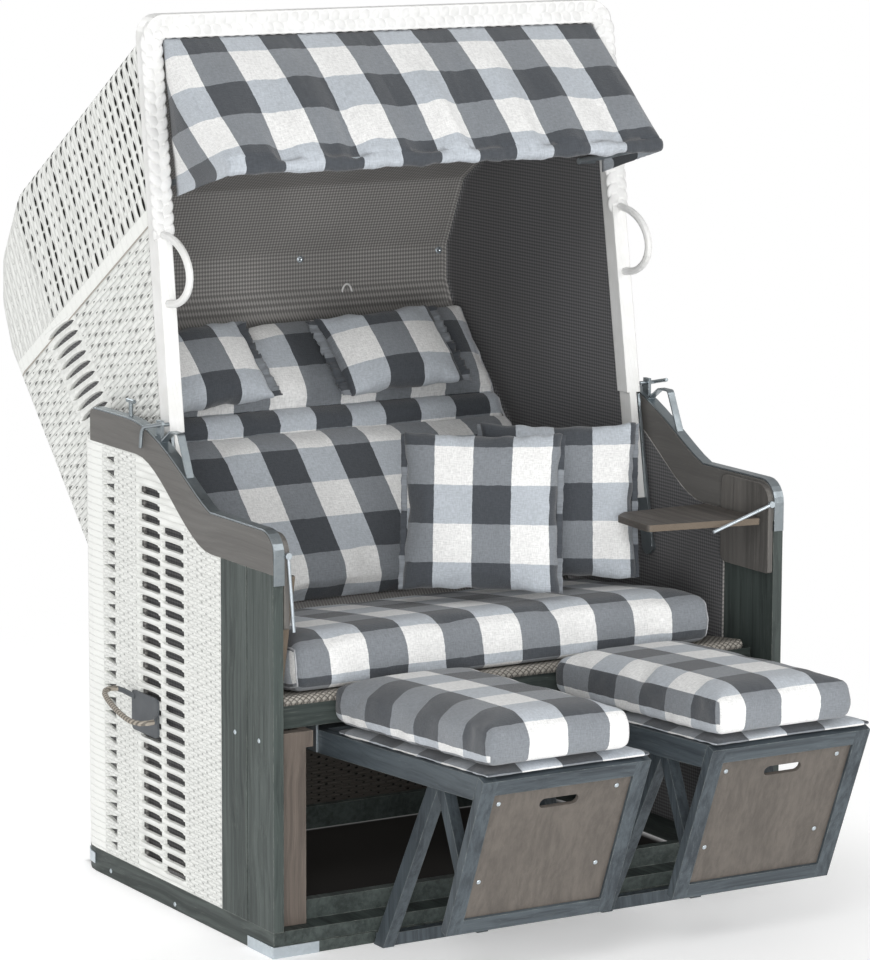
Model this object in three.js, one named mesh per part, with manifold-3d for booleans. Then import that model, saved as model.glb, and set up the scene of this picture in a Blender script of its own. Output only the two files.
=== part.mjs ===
// A hooded beach chair for two: a woven wooden base with S-shaped armrests, a woven hood that tilts
// back on two steel straps, an awning, two pull-out footrests on folding legs and two side tables.
// Millimetres: X runs across the seat, Y runs from the front to the back, Z is up.
// The pieces are placed with Y = 0 on the front of the base and Z = 0 on the floor.
import * as THREE from "three";
import { mergeGeometries, mergeVertices } from "three/addons/utils/BufferGeometryUtils.js";
import Module from "manifold-3d";

const wasm = await Module();
wasm.setup();

// Driving dimensions of the whole chair
const baseWidth = 1050;
const baseDepth = 765;
const hoodHeight = 1573;
const seatHeight = 441;
const gap = 0.3;
const overrun = 40;
const halfWidth = baseWidth / 2;
const sides = [["left", -1], ["right", 1]];

// Base frame
const sillHeight = 44;
const sillThickness = 22;
const railDepth = 75;
const frontRailHeight = 20;
const raisedBoardHeight = 78;
const raisedBoardThickness = 20;
const cornerRadius = 90;
const cornerSteps = 6;

// Front boards and side weave
const boardThickness = 20;
const boardsDepth = 185;
const grooveWidth = 4;
const grooveDepth = 5;
const weaveThickness = 8;
const rearWeaveHeight = 340;
const cornerOpeningHeight = 430;
const cornerOpeningWidth = 506;
const slotPitch = 24.5;
const slotHeight = 10.5;
const slotShift = 12;
const slotColumnStart = 322;
const slotColumnWidth = 84;
const slotColumnPitch = 89;
const slotColumns = 2;
const wedgeStart = baseDepth - 177;
const wedgeWidth = 44;
const slotMargin = 16;

// Inner side panel
const stileThickness = 12;
const stileWidth = 133;
const liningThickness = 4;
const liningStart = 152;
const liningEnd = 700;
const panelRailHeight = 60;

// Armrest
const armThickness = 22;
const armLength = 682;
const armFrontTop = 736;
const armRearTop = 859;
const armFrontBottom = 666;
const armRearBottom = 801;
const armTopRiseStart = 225;
const armTopRiseEnd = 540;
const armBottomRiseStart = 220;
const armBottomRiseEnd = 500;
const armFrontRadius = 38;
const armRearRadius = 12;
const armSteps = 12;

// Steel fittings on the armrest
const steelThickness = 3;
const railStripWidth = 20;
const railDropEnd = 647;
const pinPlace = 540;
const pinHeight = 31;
const pinRadius = 4;
const pinBarLength = 27;
const archFrontFoot = 312;
const archRearFoot = 418;
const archTop = 858;
const archTopHalf = 16;
const archWidth = 14;
const lugHeight = 26;
const lugLength = 18;
const lugThickness = 6;

// Lever
const leverPivot = { y: 427.5, z: 862 };
const leverRadius = 3.5;
const leverInnerReach = 497;
const leverPlane = 530;
const leverNose = { y: 386, z: 871 };
const leverBend = { y: 464, z: 851 };
const leverTip = { y: 473, z: 817 };

// Corner brackets
const bracketThickness = 2;
const frontBracketHeight = 20;
const frontBracketLength = 90;
const rearBracketHeight = 20;
const rearBracketLift = 14;
const rearBracketStart = baseDepth - cornerRadius;

// Seat
const seatFront = 60;
const seatRailThickness = 20;
const seatRailHeight = 40;
const seatBoardThickness = 12;
const seatBoardLength = 435;
const seatSlope = 6.5;
const noseRadius = 9;
const bearerWidth = 22;
const bearerHeight = 24;
const bearerInset = 8;
const postWidth = 60;
const postDepth = 20;
const postFront = 30;
const cleatHeight = 28;
const cleatReach = 14;

// Carry handle
const handlePlateStart = 417;
const handlePlateEnd = 517;
const handlePlateBottom = 300;
const handlePlateTop = 372;
const handlePlateThickness = 4;
const handleBowRear = { y: 545, z: 370 };
const handleBowFront = { y: 400, z: 336 };
const handleBowReach = 52;
const handleBowRadius = 5;

// Side tables
const tableBracketThickness = 10;
const tableBracketDepth = 150;
const tableBracketBottom = 570;
const tableBracketTop = 732;
const tableBracketRadius = 34;
const tableHinge = { x: 485, z: 664 };
const tableHingeRadius = 4;
const tableThickness = 12;
const tableRise = 8;
const tableDrop = 91.5;
const tableInner = 263;
const tableFront = 8;
const tableTaper = 38;
const tableEndDepth = 157;
const tableDepth = 181;
const tableCut = 38;
const tableCorner = 9;
const stayRadius = 3;
const stayLength = 132;
const stayPivot = { x: 497, z: 697 };
const stayHang = 4.7;
const staySupport = 72.8;

// Footrests
const footCentre = 225;
const footHalf = 163;
const footPivot = { y: 110, z: 345 };
const footRailWidth = 20;
const footRailHeight = 41;
const footRailTopAtPivot = 366;
const footRailSlope = 2.9;
const footRailTail = 20;
const footCrossWidth = 40;
const footPinRadius = 5;
const footPinHole = 5.7;
const hingeEarThickness = 4;
const hingeEarHeight = 34;
const hingePlateDepth = 46;
const padThickness = 16;
const padFront = -462;
const padRear = 28;
const padInset = 3;
const footCushionHeight = 68;
const footCushionFront = -478;
const footCushionWidth = 264;
const footCushionShift = -27;
const panelTop = { y: -456, z: 386.8 };
const panelLength = 307;
const panelTilt = 22.2;
const panelThickness = 18;
const panelMember = 28;
const panelPlateThickness = 8;
const panelSlotWidth = 76;
const panelSlotHeight = 19;
const panelSlotFromTop = 62;
const legPivot = { y: -215, z: 345 };
const legLean = 29.3;
const legSpacing = 190;
const legWidth = 22;
const legDepth = 28;
const braceLean = 24;
const braceLength = 240;
const braceDepth = 22;
const pivotTubeRadius = 8;
const footBarHeight = 22;

// Hood
const frontLine = { y: 525, z: hoodHeight - 43 };
const hoodLean = 8.4;
const hoodTaper = 0.02;
const taperStart = 700;
const shellHalf = 487;
const shellThickness = 8;
const shellCorner = 42;
const shellCornerSteps = 4;
const roofFront = { y: 540, z: hoodHeight - 6 };
const roofRear = { y: 1090, z: 1214 };
const backTop = { y: 1160, z: 1086 };
const backBottom = { y: 1160, z: 990 };
const slantOuter = { y: 1117, z: 897 };
const slantAngle = 45.3;
const knuckleRadius = 70;
const sideWallRear = { y: 790, z: 562 };
const sideWallFront = 700;
const tailHalf = 445;
const ceilingFront = { y: 540, z: hoodHeight - 79 };
const ceilingRear = { y: 1015, z: 1199 };
const innerBackTop = { y: 1083, z: 1060 };
const innerBackBottom = { y: 1083, z: 990 };
const slantInner = { y: 1062, z: 946 };
const slantLength = 690;
const liningSheet = 5;
const liningCorner = 18;
const frameRib = 24;
const ventCount = 9;
const ventHub = { y: 748, z: 852 };
const ventInner = 22;
const ventOuter = 150;
const ventWidth = 5;
const ventFirstAngle = -8;
const ventLastAngle = 62;

// Hood rim, its tongues and the straps
const rimDepth = 34;
const rimOuter = 498;
const rimInner = 469;
const rimTopHeight = 41;
const rimCorner = 40;
const rimSideBottom = 846;
const tongueBottom = 650;
const tongueInner = 474;
const tongueOuter = 489.5;
const strapWidth = 34;
const strapTop = 840;
const strapThickness = 5;
const strapPivot = { y: 386, z: 560 };
const bossRadius = 14;
const bossReach = 500.4;

// Bow handles on the rim
const bowCentreHeight = 1131;
const bowHalfHeight = 60;
const bowReach = 88;
const bowTubeRadius = 7;
const bowPlace = 480;

// Awning
const awningPivot = { y: 545, z: hoodHeight - 301 };
const awningTip = { y: 298, z: hoodHeight - 251 };
const awningArmRadius = 6;
const awningArmPlace = 438;
const awningBar = 8;
const awningRoot = { y: 546, z: hoodHeight - 59 };
const awningRear = { y: 486, z: hoodHeight - 305 };
const awningBelly = 14;
const clothThickness = 4;
const clothHalf = 447;
const clothFolds = 7;
const foldDepth = 5;

// Upholstery
const backCushion = { width: baseWidth - 142, length: 618, height: 62, crown: 8 };
const backCushionTop = 54;
const backCushionRoll = [205, 262];
const neckPillow = { width: 290, length: 215, height: 74 };
const neckPillowPlaces = [-222, 208];
const neckPillowDrops = [76, 62];
const neckPillowTurns = [5, 3];
const neckPillowLift = 4.5;
const sidePull = 0.05;
const seatCushion = { width: baseWidth - 148, length: 432, height: 110, crown: 11 };
const throwPillow = { width: 276, length: 276, height: 84 };
const throwYaw = -36;
const throwLean = 10;
const throwFront = { x: 8, y: 214, z: 686 };
const throwRear = { x: 214, y: 276, z: 678 };

// Colours and finishes
const weaveWhite = { color: 0xe4e6e0, roughness: 0.55, metalness: 0 };
const boardGreen = { color: 0x515b59, roughness: 0.7, metalness: 0 };
const boardGrey = { color: 0x696765, roughness: 0.65, metalness: 0 };
const boardBlue = { color: 0x5f6973, roughness: 0.7, metalness: 0 };
const boardBrown = { color: 0x7a6e68, roughness: 0.7, metalness: 0 };
const liningDark = { color: 0x434346, roughness: 0.9, metalness: 0 };
const liningGrey = { color: 0x6e6c68, roughness: 0.9, metalness: 0 };
const steelBright = { color: 0xb9c3c8, roughness: 0.35, metalness: 0.9 };
const steelWhite = { color: 0xeeeeec, roughness: 0.5, metalness: 0 };
const clothCheck = { color: 0x9a9fa5, roughness: 0.95, metalness: 0 };
const handleDark = { color: 0x4a4c50, roughness: 0.6, metalness: 0 };

const radians = THREE.MathUtils.degToRad;
const leanSlope = Math.tan(radians(hoodLean));
const slantDown = { y: -Math.cos(radians(slantAngle)), z: -Math.sin(radians(slantAngle)) };

// Merge equal positions so that a geometry is one closed surface
function closed(geometry) {
  const plain = geometry.clone();
  plain.deleteAttribute("normal");
  plain.deleteAttribute("uv");
  return mergeVertices(plain, 1e-4);
}

function solid(geometry) {
  const merged = closed(geometry);
  const vertProperties = new Float32Array(merged.attributes.position.array);
  const triVerts = new Uint32Array(merged.index.array);
  return new wasm.Manifold(new wasm.Mesh({ numProp: 3, vertProperties, triVerts }));
}

function geometryOf(manifold) {
  const mesh = manifold.getMesh();
  const geometry = new THREE.BufferGeometry();
  geometry.setAttribute("position", new THREE.BufferAttribute(mesh.vertProperties, 3));
  geometry.setIndex(new THREE.BufferAttribute(mesh.triVerts, 1));
  return geometry;
}

function join(...geometries) {
  return geometryOf(geometries.map(solid).reduce((whole, piece) => whole.add(piece)));
}

function cut(geometry, ...tools) {
  return geometryOf(tools.map(solid).reduce((whole, tool) => whole.subtract(tool), solid(geometry)));
}

function common(geometry, other) {
  return geometryOf(solid(geometry).intersect(solid(other)));
}

function box(x0, x1, y0, y1, z0, z1) {
  const geometry = new THREE.BoxGeometry(x1 - x0, y1 - y0, z1 - z0);
  return geometry.translate((x0 + x1) / 2, (y0 + y1) / 2, (z0 + z1) / 2);
}

function shapeOf(points) {
  return new THREE.Shape(points.map(([u, v]) => new THREE.Vector2(u, v)));
}

function extruded(shape, depth) {
  return new THREE.ExtrudeGeometry(shape, { depth, bevelEnabled: false });
}

// A board whose outline lies in the Y-Z plane, between two places across the chair
function sideBoard(shape, x0, x1) {
  const axes = new THREE.Matrix4().set(0, 0, 1, x0, 1, 0, 0, 0, 0, 1, 0, 0, 0, 0, 0, 1);
  return extruded(shape, x1 - x0).applyMatrix4(axes);
}

// A board whose outline lies in the X-Z plane, between two depths
function frontBoard(shape, y0, y1) {
  const axes = new THREE.Matrix4().set(1, 0, 0, 0, 0, 0, -1, y1, 0, 1, 0, 0, 0, 0, 0, 1);
  return extruded(shape, y1 - y0).applyMatrix4(axes);
}

// A board whose outline lies in the X-Y plane, between two heights
function flatBoard(shape, z0, z1) {
  return extruded(shape, z1 - z0).translate(0, 0, z0);
}

// The mirror image on the left side, with its faces still pointing out
function onSide(geometry, side) {
  if (side > 0) {
    return geometry;
  }
  const mirrored = closed(geometry);
  mirrored.scale(-1, 1, 1);
  const index = mirrored.index;
  for (let i = 0; i < index.count; i += 3) {
    const first = index.getX(i);
    index.setX(i, index.getX(i + 2));
    index.setX(i + 2, first);
  }
  return mirrored;
}

// A polyline with each inner corner replaced by an arc of its radius
function rounded(points, radii, steps) {
  const result = [];
  points.forEach(([u, v], i) => {
    const radius = radii[i];
    if (!radius) {
      result.push([u, v]);
      return;
    }
    const here = new THREE.Vector2(u, v);
    const before = new THREE.Vector2(...points[(i + points.length - 1) % points.length]).sub(here).normalize();
    const after = new THREE.Vector2(...points[(i + 1) % points.length]).sub(here).normalize();
    const half = Math.acos(THREE.MathUtils.clamp(before.dot(after), -1, 1)) / 2;
    const reach = radius / Math.tan(half);
    const centre = before.clone().add(after).normalize().multiplyScalar(radius / Math.sin(half)).add(here);
    const start = before.multiplyScalar(reach).add(here).sub(centre);
    const end = after.multiplyScalar(reach).add(here).sub(centre);
    const turn = Math.atan2(start.cross(end), start.dot(end));
    for (let step = 0; step <= steps; step += 1) {
      const point = start.clone().rotateAround(new THREE.Vector2(), (turn * step) / steps).add(centre);
      result.push([point.x, point.y]);
    }
  });
  return result;
}

// An open polyline moved sideways, to its left for a positive distance
function offset(points, distance) {
  return points.map(([u, v], i) => {
    const here = new THREE.Vector2(u, v);
    const before = i > 0 ? here.clone().sub(new THREE.Vector2(...points[i - 1])).normalize() : null;
    const after = i < points.length - 1 ? new THREE.Vector2(...points[i + 1]).sub(here).normalize() : null;
    const first = before ?? after;
    const second = after ?? before;
    const normal = new THREE.Vector2(-first.y - second.y, first.x + second.x).normalize();
    const share = normal.dot(new THREE.Vector2(-first.y, first.x));
    return [u + (normal.x * distance) / share, v + (normal.y * distance) / share];
  });
}

function rod(from, to, radius, segments = 12) {
  const a = new THREE.Vector3(...from);
  const b = new THREE.Vector3(...to);
  const geometry = new THREE.CylinderGeometry(radius, radius, a.distanceTo(b), segments);
  const direction = b.clone().sub(a).normalize();
  geometry.applyQuaternion(new THREE.Quaternion().setFromUnitVectors(new THREE.Vector3(0, 1, 0), direction));
  return geometry.translate((a.x + b.x) / 2, (a.y + b.y) / 2, (a.z + b.z) / 2);
}

// A round tube along a smooth route through some points
function tube(points, radius, steps, quarterSegments = 4) {
  const extrudePath = new THREE.CatmullRomCurve3(points.map((point) => new THREE.Vector3(...point)));
  const section = new THREE.Shape();
  section.absarc(0, 0, radius, 0, 2 * Math.PI, false);
  return new THREE.ExtrudeGeometry(section, { steps, curveSegments: quarterSegments, extrudePath });
}

const part = new THREE.Group();

function add(name, geometry, look, parent = part) {
  const mesh = new THREE.Mesh(closed(geometry), new THREE.MeshStandardMaterial(look));
  mesh.name = name;
  parent.add(mesh);
  return mesh;
}

// Base frame: floor rails, raised board behind the front rail and the side sills
const sillOuter = halfWidth;
const frameTopWidth = halfWidth - sillThickness;

function footprint(outer, front, rear, radius) {
  const points = [[-outer, front], [outer, front], [outer, rear], [-outer, rear]];
  return shapeOf(rounded(points, [0, 0, radius, radius], cornerSteps));
}

function floorFrame() {
  const outer = flatBoard(footprint(sillOuter, 0, baseDepth, cornerRadius), 0, sillHeight);
  const inside = flatBoard(footprint(frameTopWidth, railDepth, baseDepth - sillThickness,
    cornerRadius - sillThickness), -overrun, sillHeight + overrun);
  const step = box(-frameTopWidth, frameTopWidth, -overrun, frontRailHeight / 5, frontRailHeight,
    sillHeight + overrun);
  const raised = box(-frameTopWidth + gap, frameTopWidth - gap, railDepth - raisedBoardThickness,
    railDepth, sillHeight - gap, raisedBoardHeight);
  return join(cut(outer, inside, step), raised);
}
add("floor_frame", floorFrame(), boardGreen);

// Armrest outline: flat in front, an S-shaped rise and flat behind
function armTopAt(y) {
  const t = THREE.MathUtils.clamp((y - armTopRiseStart) / (armTopRiseEnd - armTopRiseStart), 0, 1);
  const riseShare = Math.sin((Math.PI * t) / 2) ** 1.2;
  return armFrontTop + (armRearTop - armFrontTop) * riseShare;
}

function armBottomAt(y) {
  const riseShare = THREE.MathUtils.smoothstep(y, armBottomRiseStart, armBottomRiseEnd);
  return armFrontBottom + (armRearBottom - armFrontBottom) * riseShare;
}

function along(start, end, steps, height) {
  return Array.from({ length: steps + 1 }, (_, i) => {
    const y = start + ((end - start) * i) / steps;
    return [y, height(y)];
  });
}

// The faceted underside of the armrest, and what ends just below it between two places
const armUnderside = along(armBottomRiseStart, armBottomRiseEnd, armSteps, armBottomAt);

function armUndersideAt(y) {
  const last = armUnderside.length - 1;
  const index = armUnderside.findIndex(([place]) => place > y);
  if (index < 1) {
    return armUnderside[index === 0 ? 0 : last][1];
  }
  const [y0, z0] = armUnderside[index - 1];
  const [y1, z1] = armUnderside[index];
  return z0 + ((z1 - z0) * (y - y0)) / (y1 - y0);
}

function underArm(start, end) {
  const inside = armUnderside.filter(([y]) => y > start && y < end);
  const ends = [start, end].map((y) => [y, armUndersideAt(y)]);
  return [ends[0], ...inside, ends[1]].map(([y, z]) => [y, z - gap]).reverse();
}

function armOutline() {
  const front = rounded([[0, armFrontBottom], [0, armFrontTop], [armTopRiseStart, armFrontTop]],
    [0, armFrontRadius, 0], cornerSteps).slice(0, -1);
  const top = along(armTopRiseStart, armTopRiseEnd, armSteps, armTopAt);
  const rear = rounded([[armTopRiseEnd, armRearTop], [armLength, armRearTop], [armLength, armRearBottom]],
    [0, armRearRadius, 0], cornerSteps).slice(1);
  return [...front, ...top, ...rear, ...armUnderside.toReversed()];
}

function armrest() {
  return sideBoard(shapeOf(armOutline().reverse()), halfWidth - armThickness, halfWidth);
}

// Steel strip along the top edge of the armrest, with the T-pin, the arch and the lever's lug
function armRail() {
  const inner = halfWidth - (armThickness + railStripWidth) / 2;
  const outer = inner + railStripWidth;
  const middle = (inner + outer) / 2;
  const front = rounded([[0, railDropEnd], [0, armFrontTop], [armTopRiseStart, armFrontTop]],
    [0, armFrontRadius, 0], cornerSteps).slice(0, -1);
  const route = [...front, ...along(armTopRiseStart, armTopRiseEnd, armSteps, armTopAt),
    [armLength - armRearRadius, armRearTop]];
  const near = offset(route, gap);
  const far = offset(route, gap + steelThickness);
  const strip = sideBoard(shapeOf([...near, ...far.reverse()]), inner, outer);
  const railTop = (y) => armTopAt(y) + gap + steelThickness;
  const stem = rod([middle, pinPlace, armRearTop + steelThickness / 2],
    [middle, pinPlace, armRearTop + gap + pinHeight], pinRadius);
  const bar = rod([middle, pinPlace - pinBarLength / 2, armRearTop + pinHeight],
    [middle, pinPlace + pinBarLength / 2, armRearTop + pinHeight], pinRadius);
  const archMiddle = (archFrontFoot + archRearFoot) / 2;
  const archLine = [[archFrontFoot, railTop(archFrontFoot) - steelThickness],
    [archMiddle - archTopHalf, archTop], [archMiddle + archTopHalf, archTop],
    [archRearFoot, railTop(archRearFoot) - steelThickness]];
  const bend = archTopHalf / 2;
  const archRoute = rounded(archLine, [0, bend, bend, 0], cornerSteps);
  const arch = sideBoard(shapeOf([...archRoute, ...offset(archRoute, -steelThickness).reverse()].reverse()),
    middle - archWidth / 2, middle + archWidth / 2);
  const lugY = leverPivot.y;
  const lug = cut(
    sideBoard(shapeOf([[lugY - lugLength / 2, railTop(lugY - lugLength / 2) - steelThickness],
      [lugY + lugLength / 2, railTop(lugY + lugLength / 2) - steelThickness],
      [lugY + lugLength / 2, leverPivot.z + lugHeight / 3],
      [lugY - lugLength / 2, leverPivot.z + lugHeight / 3]]),
    middle - lugThickness / 2, middle + lugThickness / 2),
    rod([middle - overrun, lugY, leverPivot.z], [middle + overrun, lugY, leverPivot.z], leverRadius + 2 * gap));
  const arm = sideBoard(shapeOf([...near, [near[near.length - 1][0], railDropEnd]].reverse()),
    inner - overrun, outer + overrun);
  return join(strip, cut(join(stem, bar), arm), cut(arch, arm), cut(lug, arm));
}

// Lever: a cross rod through the lug and a bent rod outside the armrest
function lever() {
  const cross = rod([leverInnerReach, leverPivot.y, leverPivot.z], [leverPlane, leverPivot.y, leverPivot.z],
    leverRadius);
  const points = [leverNose, leverPivot, leverBend, leverTip].map(({ y, z }) => [leverPlane, y, z]);
  return join(cross, tube(points, leverRadius, 2 * cornerSteps));
}

// A side wall that turns round the rear corner of the base, as an outline of its inner and outer faces
function cornerRing(radius, thickness, start, rear) {
  const centre = [halfWidth - cornerRadius, rear - cornerRadius];
  const arc = (r) => Array.from({ length: cornerSteps + 1 }, (_, i) => {
    const angle = (Math.PI / 2) * (i / cornerSteps);
    return [centre[0] + r * Math.cos(angle), centre[1] + r * Math.sin(angle)];
  });
  const outer = arc(radius);
  const inner = arc(radius - thickness);
  return shapeOf([[outer[0][0], start], ...outer, ...inner.reverse(), [inner[inner.length - 1][0], start]]);
}

// Woven side: open slot columns, a column of wedge slots and a wrap round the rear corner
function sideWeave() {
  const start = boardsDepth + 4 * gap;
  const straightEnd = baseDepth - cornerRadius;
  const bottom = sillHeight + gap;
  const shape = shapeOf([[start, bottom], [straightEnd, bottom], ...underArm(start, straightEnd)]);
  const slots = [];
  const addSlots = (y0, width, shares, shift = 0) => {
    for (let z = bottom + slotMargin + shift; z + slotHeight < armUndersideAt(y0) - slotMargin; z += slotPitch) {
      const outline = shapeOf(shares.map(([u, v]) => [y0 + u * width, z + v * slotHeight]));
      slots.push(sideBoard(outline, halfWidth - weaveThickness - overrun, halfWidth + overrun));
    }
  };
  const slotShares = [[0, 0], [1, 0], [1, 1], [0, 1]];
  const wedgeShares = [[0, 0.25], [1, 0.5], [0, 0.75]];
  for (let column = 0; column < slotColumns; column += 1) {
    addSlots(slotColumnStart + column * slotColumnPitch, slotColumnWidth, slotShares, column * slotShift);
  }
  addSlots(wedgeStart, wedgeWidth, wedgeShares);
  const wall = cut(sideBoard(shape, halfWidth - weaveThickness, halfWidth), mergeGeometries(slots));
  const height = armRearBottom - gap;
  const ring = flatBoard(cornerRing(cornerRadius, weaveThickness, straightEnd - gap, baseDepth), bottom, height);
  const clearance = frontBoard(shapeOf([[0, rearWeaveHeight], [halfWidth - cornerRadius, rearWeaveHeight],
    [cornerOpeningWidth, cornerOpeningHeight], [cornerOpeningWidth, height + overrun],
    [0, height + overrun]]), straightEnd + gap, baseDepth + overrun);
  return join(wall, cut(ring, clearance));
}

function rearWeave() {
  const half = halfWidth - cornerRadius - gap;
  return box(-half, half, baseDepth - weaveThickness, baseDepth, sillHeight + gap, rearWeaveHeight);
}
add("rear_weave", rearWeave(), weaveWhite);

// Front boards of a side: two upright boards with a groove between them
function frontBoards() {
  const board = box(halfWidth - boardThickness, halfWidth, 0, boardsDepth, sillHeight + gap, armFrontBottom - gap);
  const groove = box(halfWidth - grooveDepth, halfWidth + overrun, (boardsDepth - grooveWidth) / 2,
    (boardsDepth + grooveWidth) / 2, -overrun, hoodHeight);
  return cut(board, groove);
}

// Inner side panel: stiles and rails behind the weave, and the lining sheet
function sidePanel() {
  const outer = halfWidth - weaveThickness - gap;
  const middle = outer - stileThickness;
  const inner = middle - liningThickness;
  const bottom = sillHeight + gap;
  const outline = (start, end) => shapeOf([[start, bottom], [end, bottom], ...underArm(start, end)]);
  const frontStart = boardsDepth + 4 * gap;
  const rearStart = slotColumnStart + slotColumns * slotColumnPitch;
  const frame = [
    sideBoard(outline(frontStart, frontStart + stileWidth), middle, outer),
    sideBoard(outline(rearStart, rearStart + stileWidth), middle, outer),
    box(middle, outer, frontStart, rearStart + stileWidth, bottom, bottom + panelRailHeight / 3),
  ];
  const lining = sideBoard(outline(liningStart, liningEnd - slotMargin), inner, middle + gap);
  const boards = box(halfWidth - boardThickness - gap, halfWidth, 0, boardsDepth + 2 * gap, 0, hoodHeight);
  return join(...frame, cut(lining, boards));
}

function frontBracket() {
  const outer = halfWidth + gap + bracketThickness;
  const front = -gap - bracketThickness;
  const angle = box(outer - frontBracketLength, outer, front, frontBracketLength, 0, frontBracketHeight);
  return cut(angle, box(-outer, outer - bracketThickness, front + bracketThickness, halfWidth,
    -overrun, overrun));
}

function rearBracket() {
  const radius = cornerRadius + gap + bracketThickness;
  return flatBoard(cornerRing(radius, bracketThickness, rearBracketStart, baseDepth), rearBracketLift,
    rearBracketLift + rearBracketHeight);
}

// Post behind the front boards that carries the seat rail, with its cleat
function innerPost() {
  const outer = halfWidth - boardThickness - gap;
  const inner = outer - postWidth;
  const top = seatHeight - seatRailHeight - 2 * noseRadius - gap;
  const post = box(inner, outer, postFront, postFront + postDepth, sillHeight + gap, top);
  const cleat = box(inner - cleatReach, inner + gap, postFront, seatFront + seatRailThickness,
    top - cleatHeight, top);
  return join(post, cleat);
}

function carryHandlePlate() {
  const middle = (handlePlateStart + handlePlateEnd) / 2;
  const outline = rounded([[handlePlateStart, handlePlateBottom], [handlePlateEnd, handlePlateBottom],
    [handlePlateEnd, handlePlateTop], [handlePlateStart, handlePlateTop]],
  Array(4).fill(handlePlateThickness * 2), 2);
  const plate = sideBoard(shapeOf(outline), halfWidth + gap, halfWidth + gap + handlePlateThickness);
  const root = halfWidth + gap + handlePlateThickness / 2;
  const reach = halfWidth + handleBowReach;
  const rear = handleBowRear.y - middle;
  const bow = tube([[root, middle + rear / 2, handleBowRear.z - handleBowRadius * 2],
    [root + handleBowReach / 3, handleBowRear.y, handleBowRear.z],
    [reach, handleBowRear.y - handleBowRadius * 3, handleBowRear.z],
    [reach, handleBowFront.y + handleBowRadius * 3, handleBowFront.z],
    [root + handleBowReach / 3, handleBowFront.y, handleBowFront.z],
    [root, middle - rear / 2, handleBowFront.z]], handleBowRadius, 3 * cornerSteps);
  const wall = box(0, root, 0, baseDepth, 0, hoodHeight);
  return join(plate, cut(bow, wall));
}

// Bracket board inside the front boards, with the barrel and leaf of the table's hinge
function tableBracket() {
  const outer = halfWidth - armThickness - gap;
  const inner = outer - tableBracketThickness;
  const outline = rounded([[0, tableBracketBottom], [tableBracketDepth, tableBracketBottom],
    [tableBracketDepth, tableBracketTop], [0, tableBracketTop]],
  [tableHingeRadius, tableBracketRadius / 2, tableBracketRadius / 2, tableBracketRadius], cornerSteps);
  const board = sideBoard(shapeOf(outline), inner, outer);
  const first = tableFront + tableCorner * 2;
  const last = tableBracketDepth - tableCorner * 2;
  const barrel = rod([tableHinge.x, first, tableHinge.z], [tableHinge.x, last, tableHinge.z], tableHingeRadius);
  const leaf = box(tableHinge.x, inner + gap, first, last, tableHinge.z - tableHingeRadius / 2,
    tableHinge.z + tableHingeRadius / 2);
  return join(board, barrel, leaf);
}

// Table top in the frame of its hinge, reaching inwards
function tableTop() {
  const edge = -tableHingeRadius - 2 * gap;
  const end = tableInner - tableHinge.x;
  const outline = rounded([[edge, tableFront], [edge, tableDepth], [end + tableCut, tableDepth],
    [end + tableCorner, tableEndDepth], [end, tableFront + tableTaper]],
  [tableCorner / 3, tableCorner / 3, tableCorner, tableCorner, tableCorner], cornerSteps);
  return flatBoard(shapeOf(outline), tableRise - tableThickness, tableRise);
}

// Stay rod in the frame of its pivot, hanging down, with an eye at its top
function stayRod() {
  const eye = rod([0, -2 * stayRadius, 0], [0, 0, 0], 2 * stayRadius);
  const shaft = rod([0, -stayRadius, 0], [0, -stayRadius, -stayLength], stayRadius);
  return join(eye, shaft);
}

for (const [name, side] of sides) {
  add(`front_boards_${name}`, onSide(frontBoards(), side), boardGreen);
  add(`side_weave_${name}`, onSide(sideWeave(), side), weaveWhite);
  add(`side_panel_${name}`, onSide(sidePanel(), side), liningDark);
  add(`armrest_${name}`, onSide(armrest(), side), boardGrey);
  add(`arm_rail_${name}`, onSide(armRail(), side), steelBright);
  add(`lever_${name}`, onSide(lever(), side), steelBright);
  add(`corner_bracket_front_${name}`, onSide(frontBracket(), side), steelBright);
  add(`corner_bracket_rear_${name}`, onSide(rearBracket(), side), steelBright);
  add(`inner_post_${name}`, onSide(innerPost(), side), boardBrown);
  add(`carry_handle_${name}`, onSide(carryHandlePlate(), side), handleDark);
  add(`table_bracket_${name}`, onSide(tableBracket(), side), boardGrey);
  const table = new THREE.Group();
  table.position.set(side * tableHinge.x, 0, tableHinge.z);
  table.rotation.y = side > 0 ? 0 : radians(tableDrop);
  add(`table_top_${name}`, onSide(tableTop(), side), boardGrey, table);
  const stay = new THREE.Group();
  stay.position.set(side * stayPivot.x, -gap, stayPivot.z);
  stay.rotation.y = side > 0 ? radians(staySupport) : radians(-stayHang);
  add(`stay_rod_${name}`, stayRod(), steelBright, stay);
  part.add(table, stay);
}

// Seat: the front rail with its bearers, the sloping board with a braided nose, and the cushion
const seatHalf = halfWidth - weaveThickness - gap - stileThickness - liningThickness - gap;
const seatBoardHalf = tableHinge.x - tableRise - 4 * gap;
const seatRailTop = seatHeight - 2 * noseRadius;
const seatFall = Math.tan(radians(seatSlope));
const boardDrop = seatBoardThickness / Math.cos(radians(seatSlope));

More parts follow.
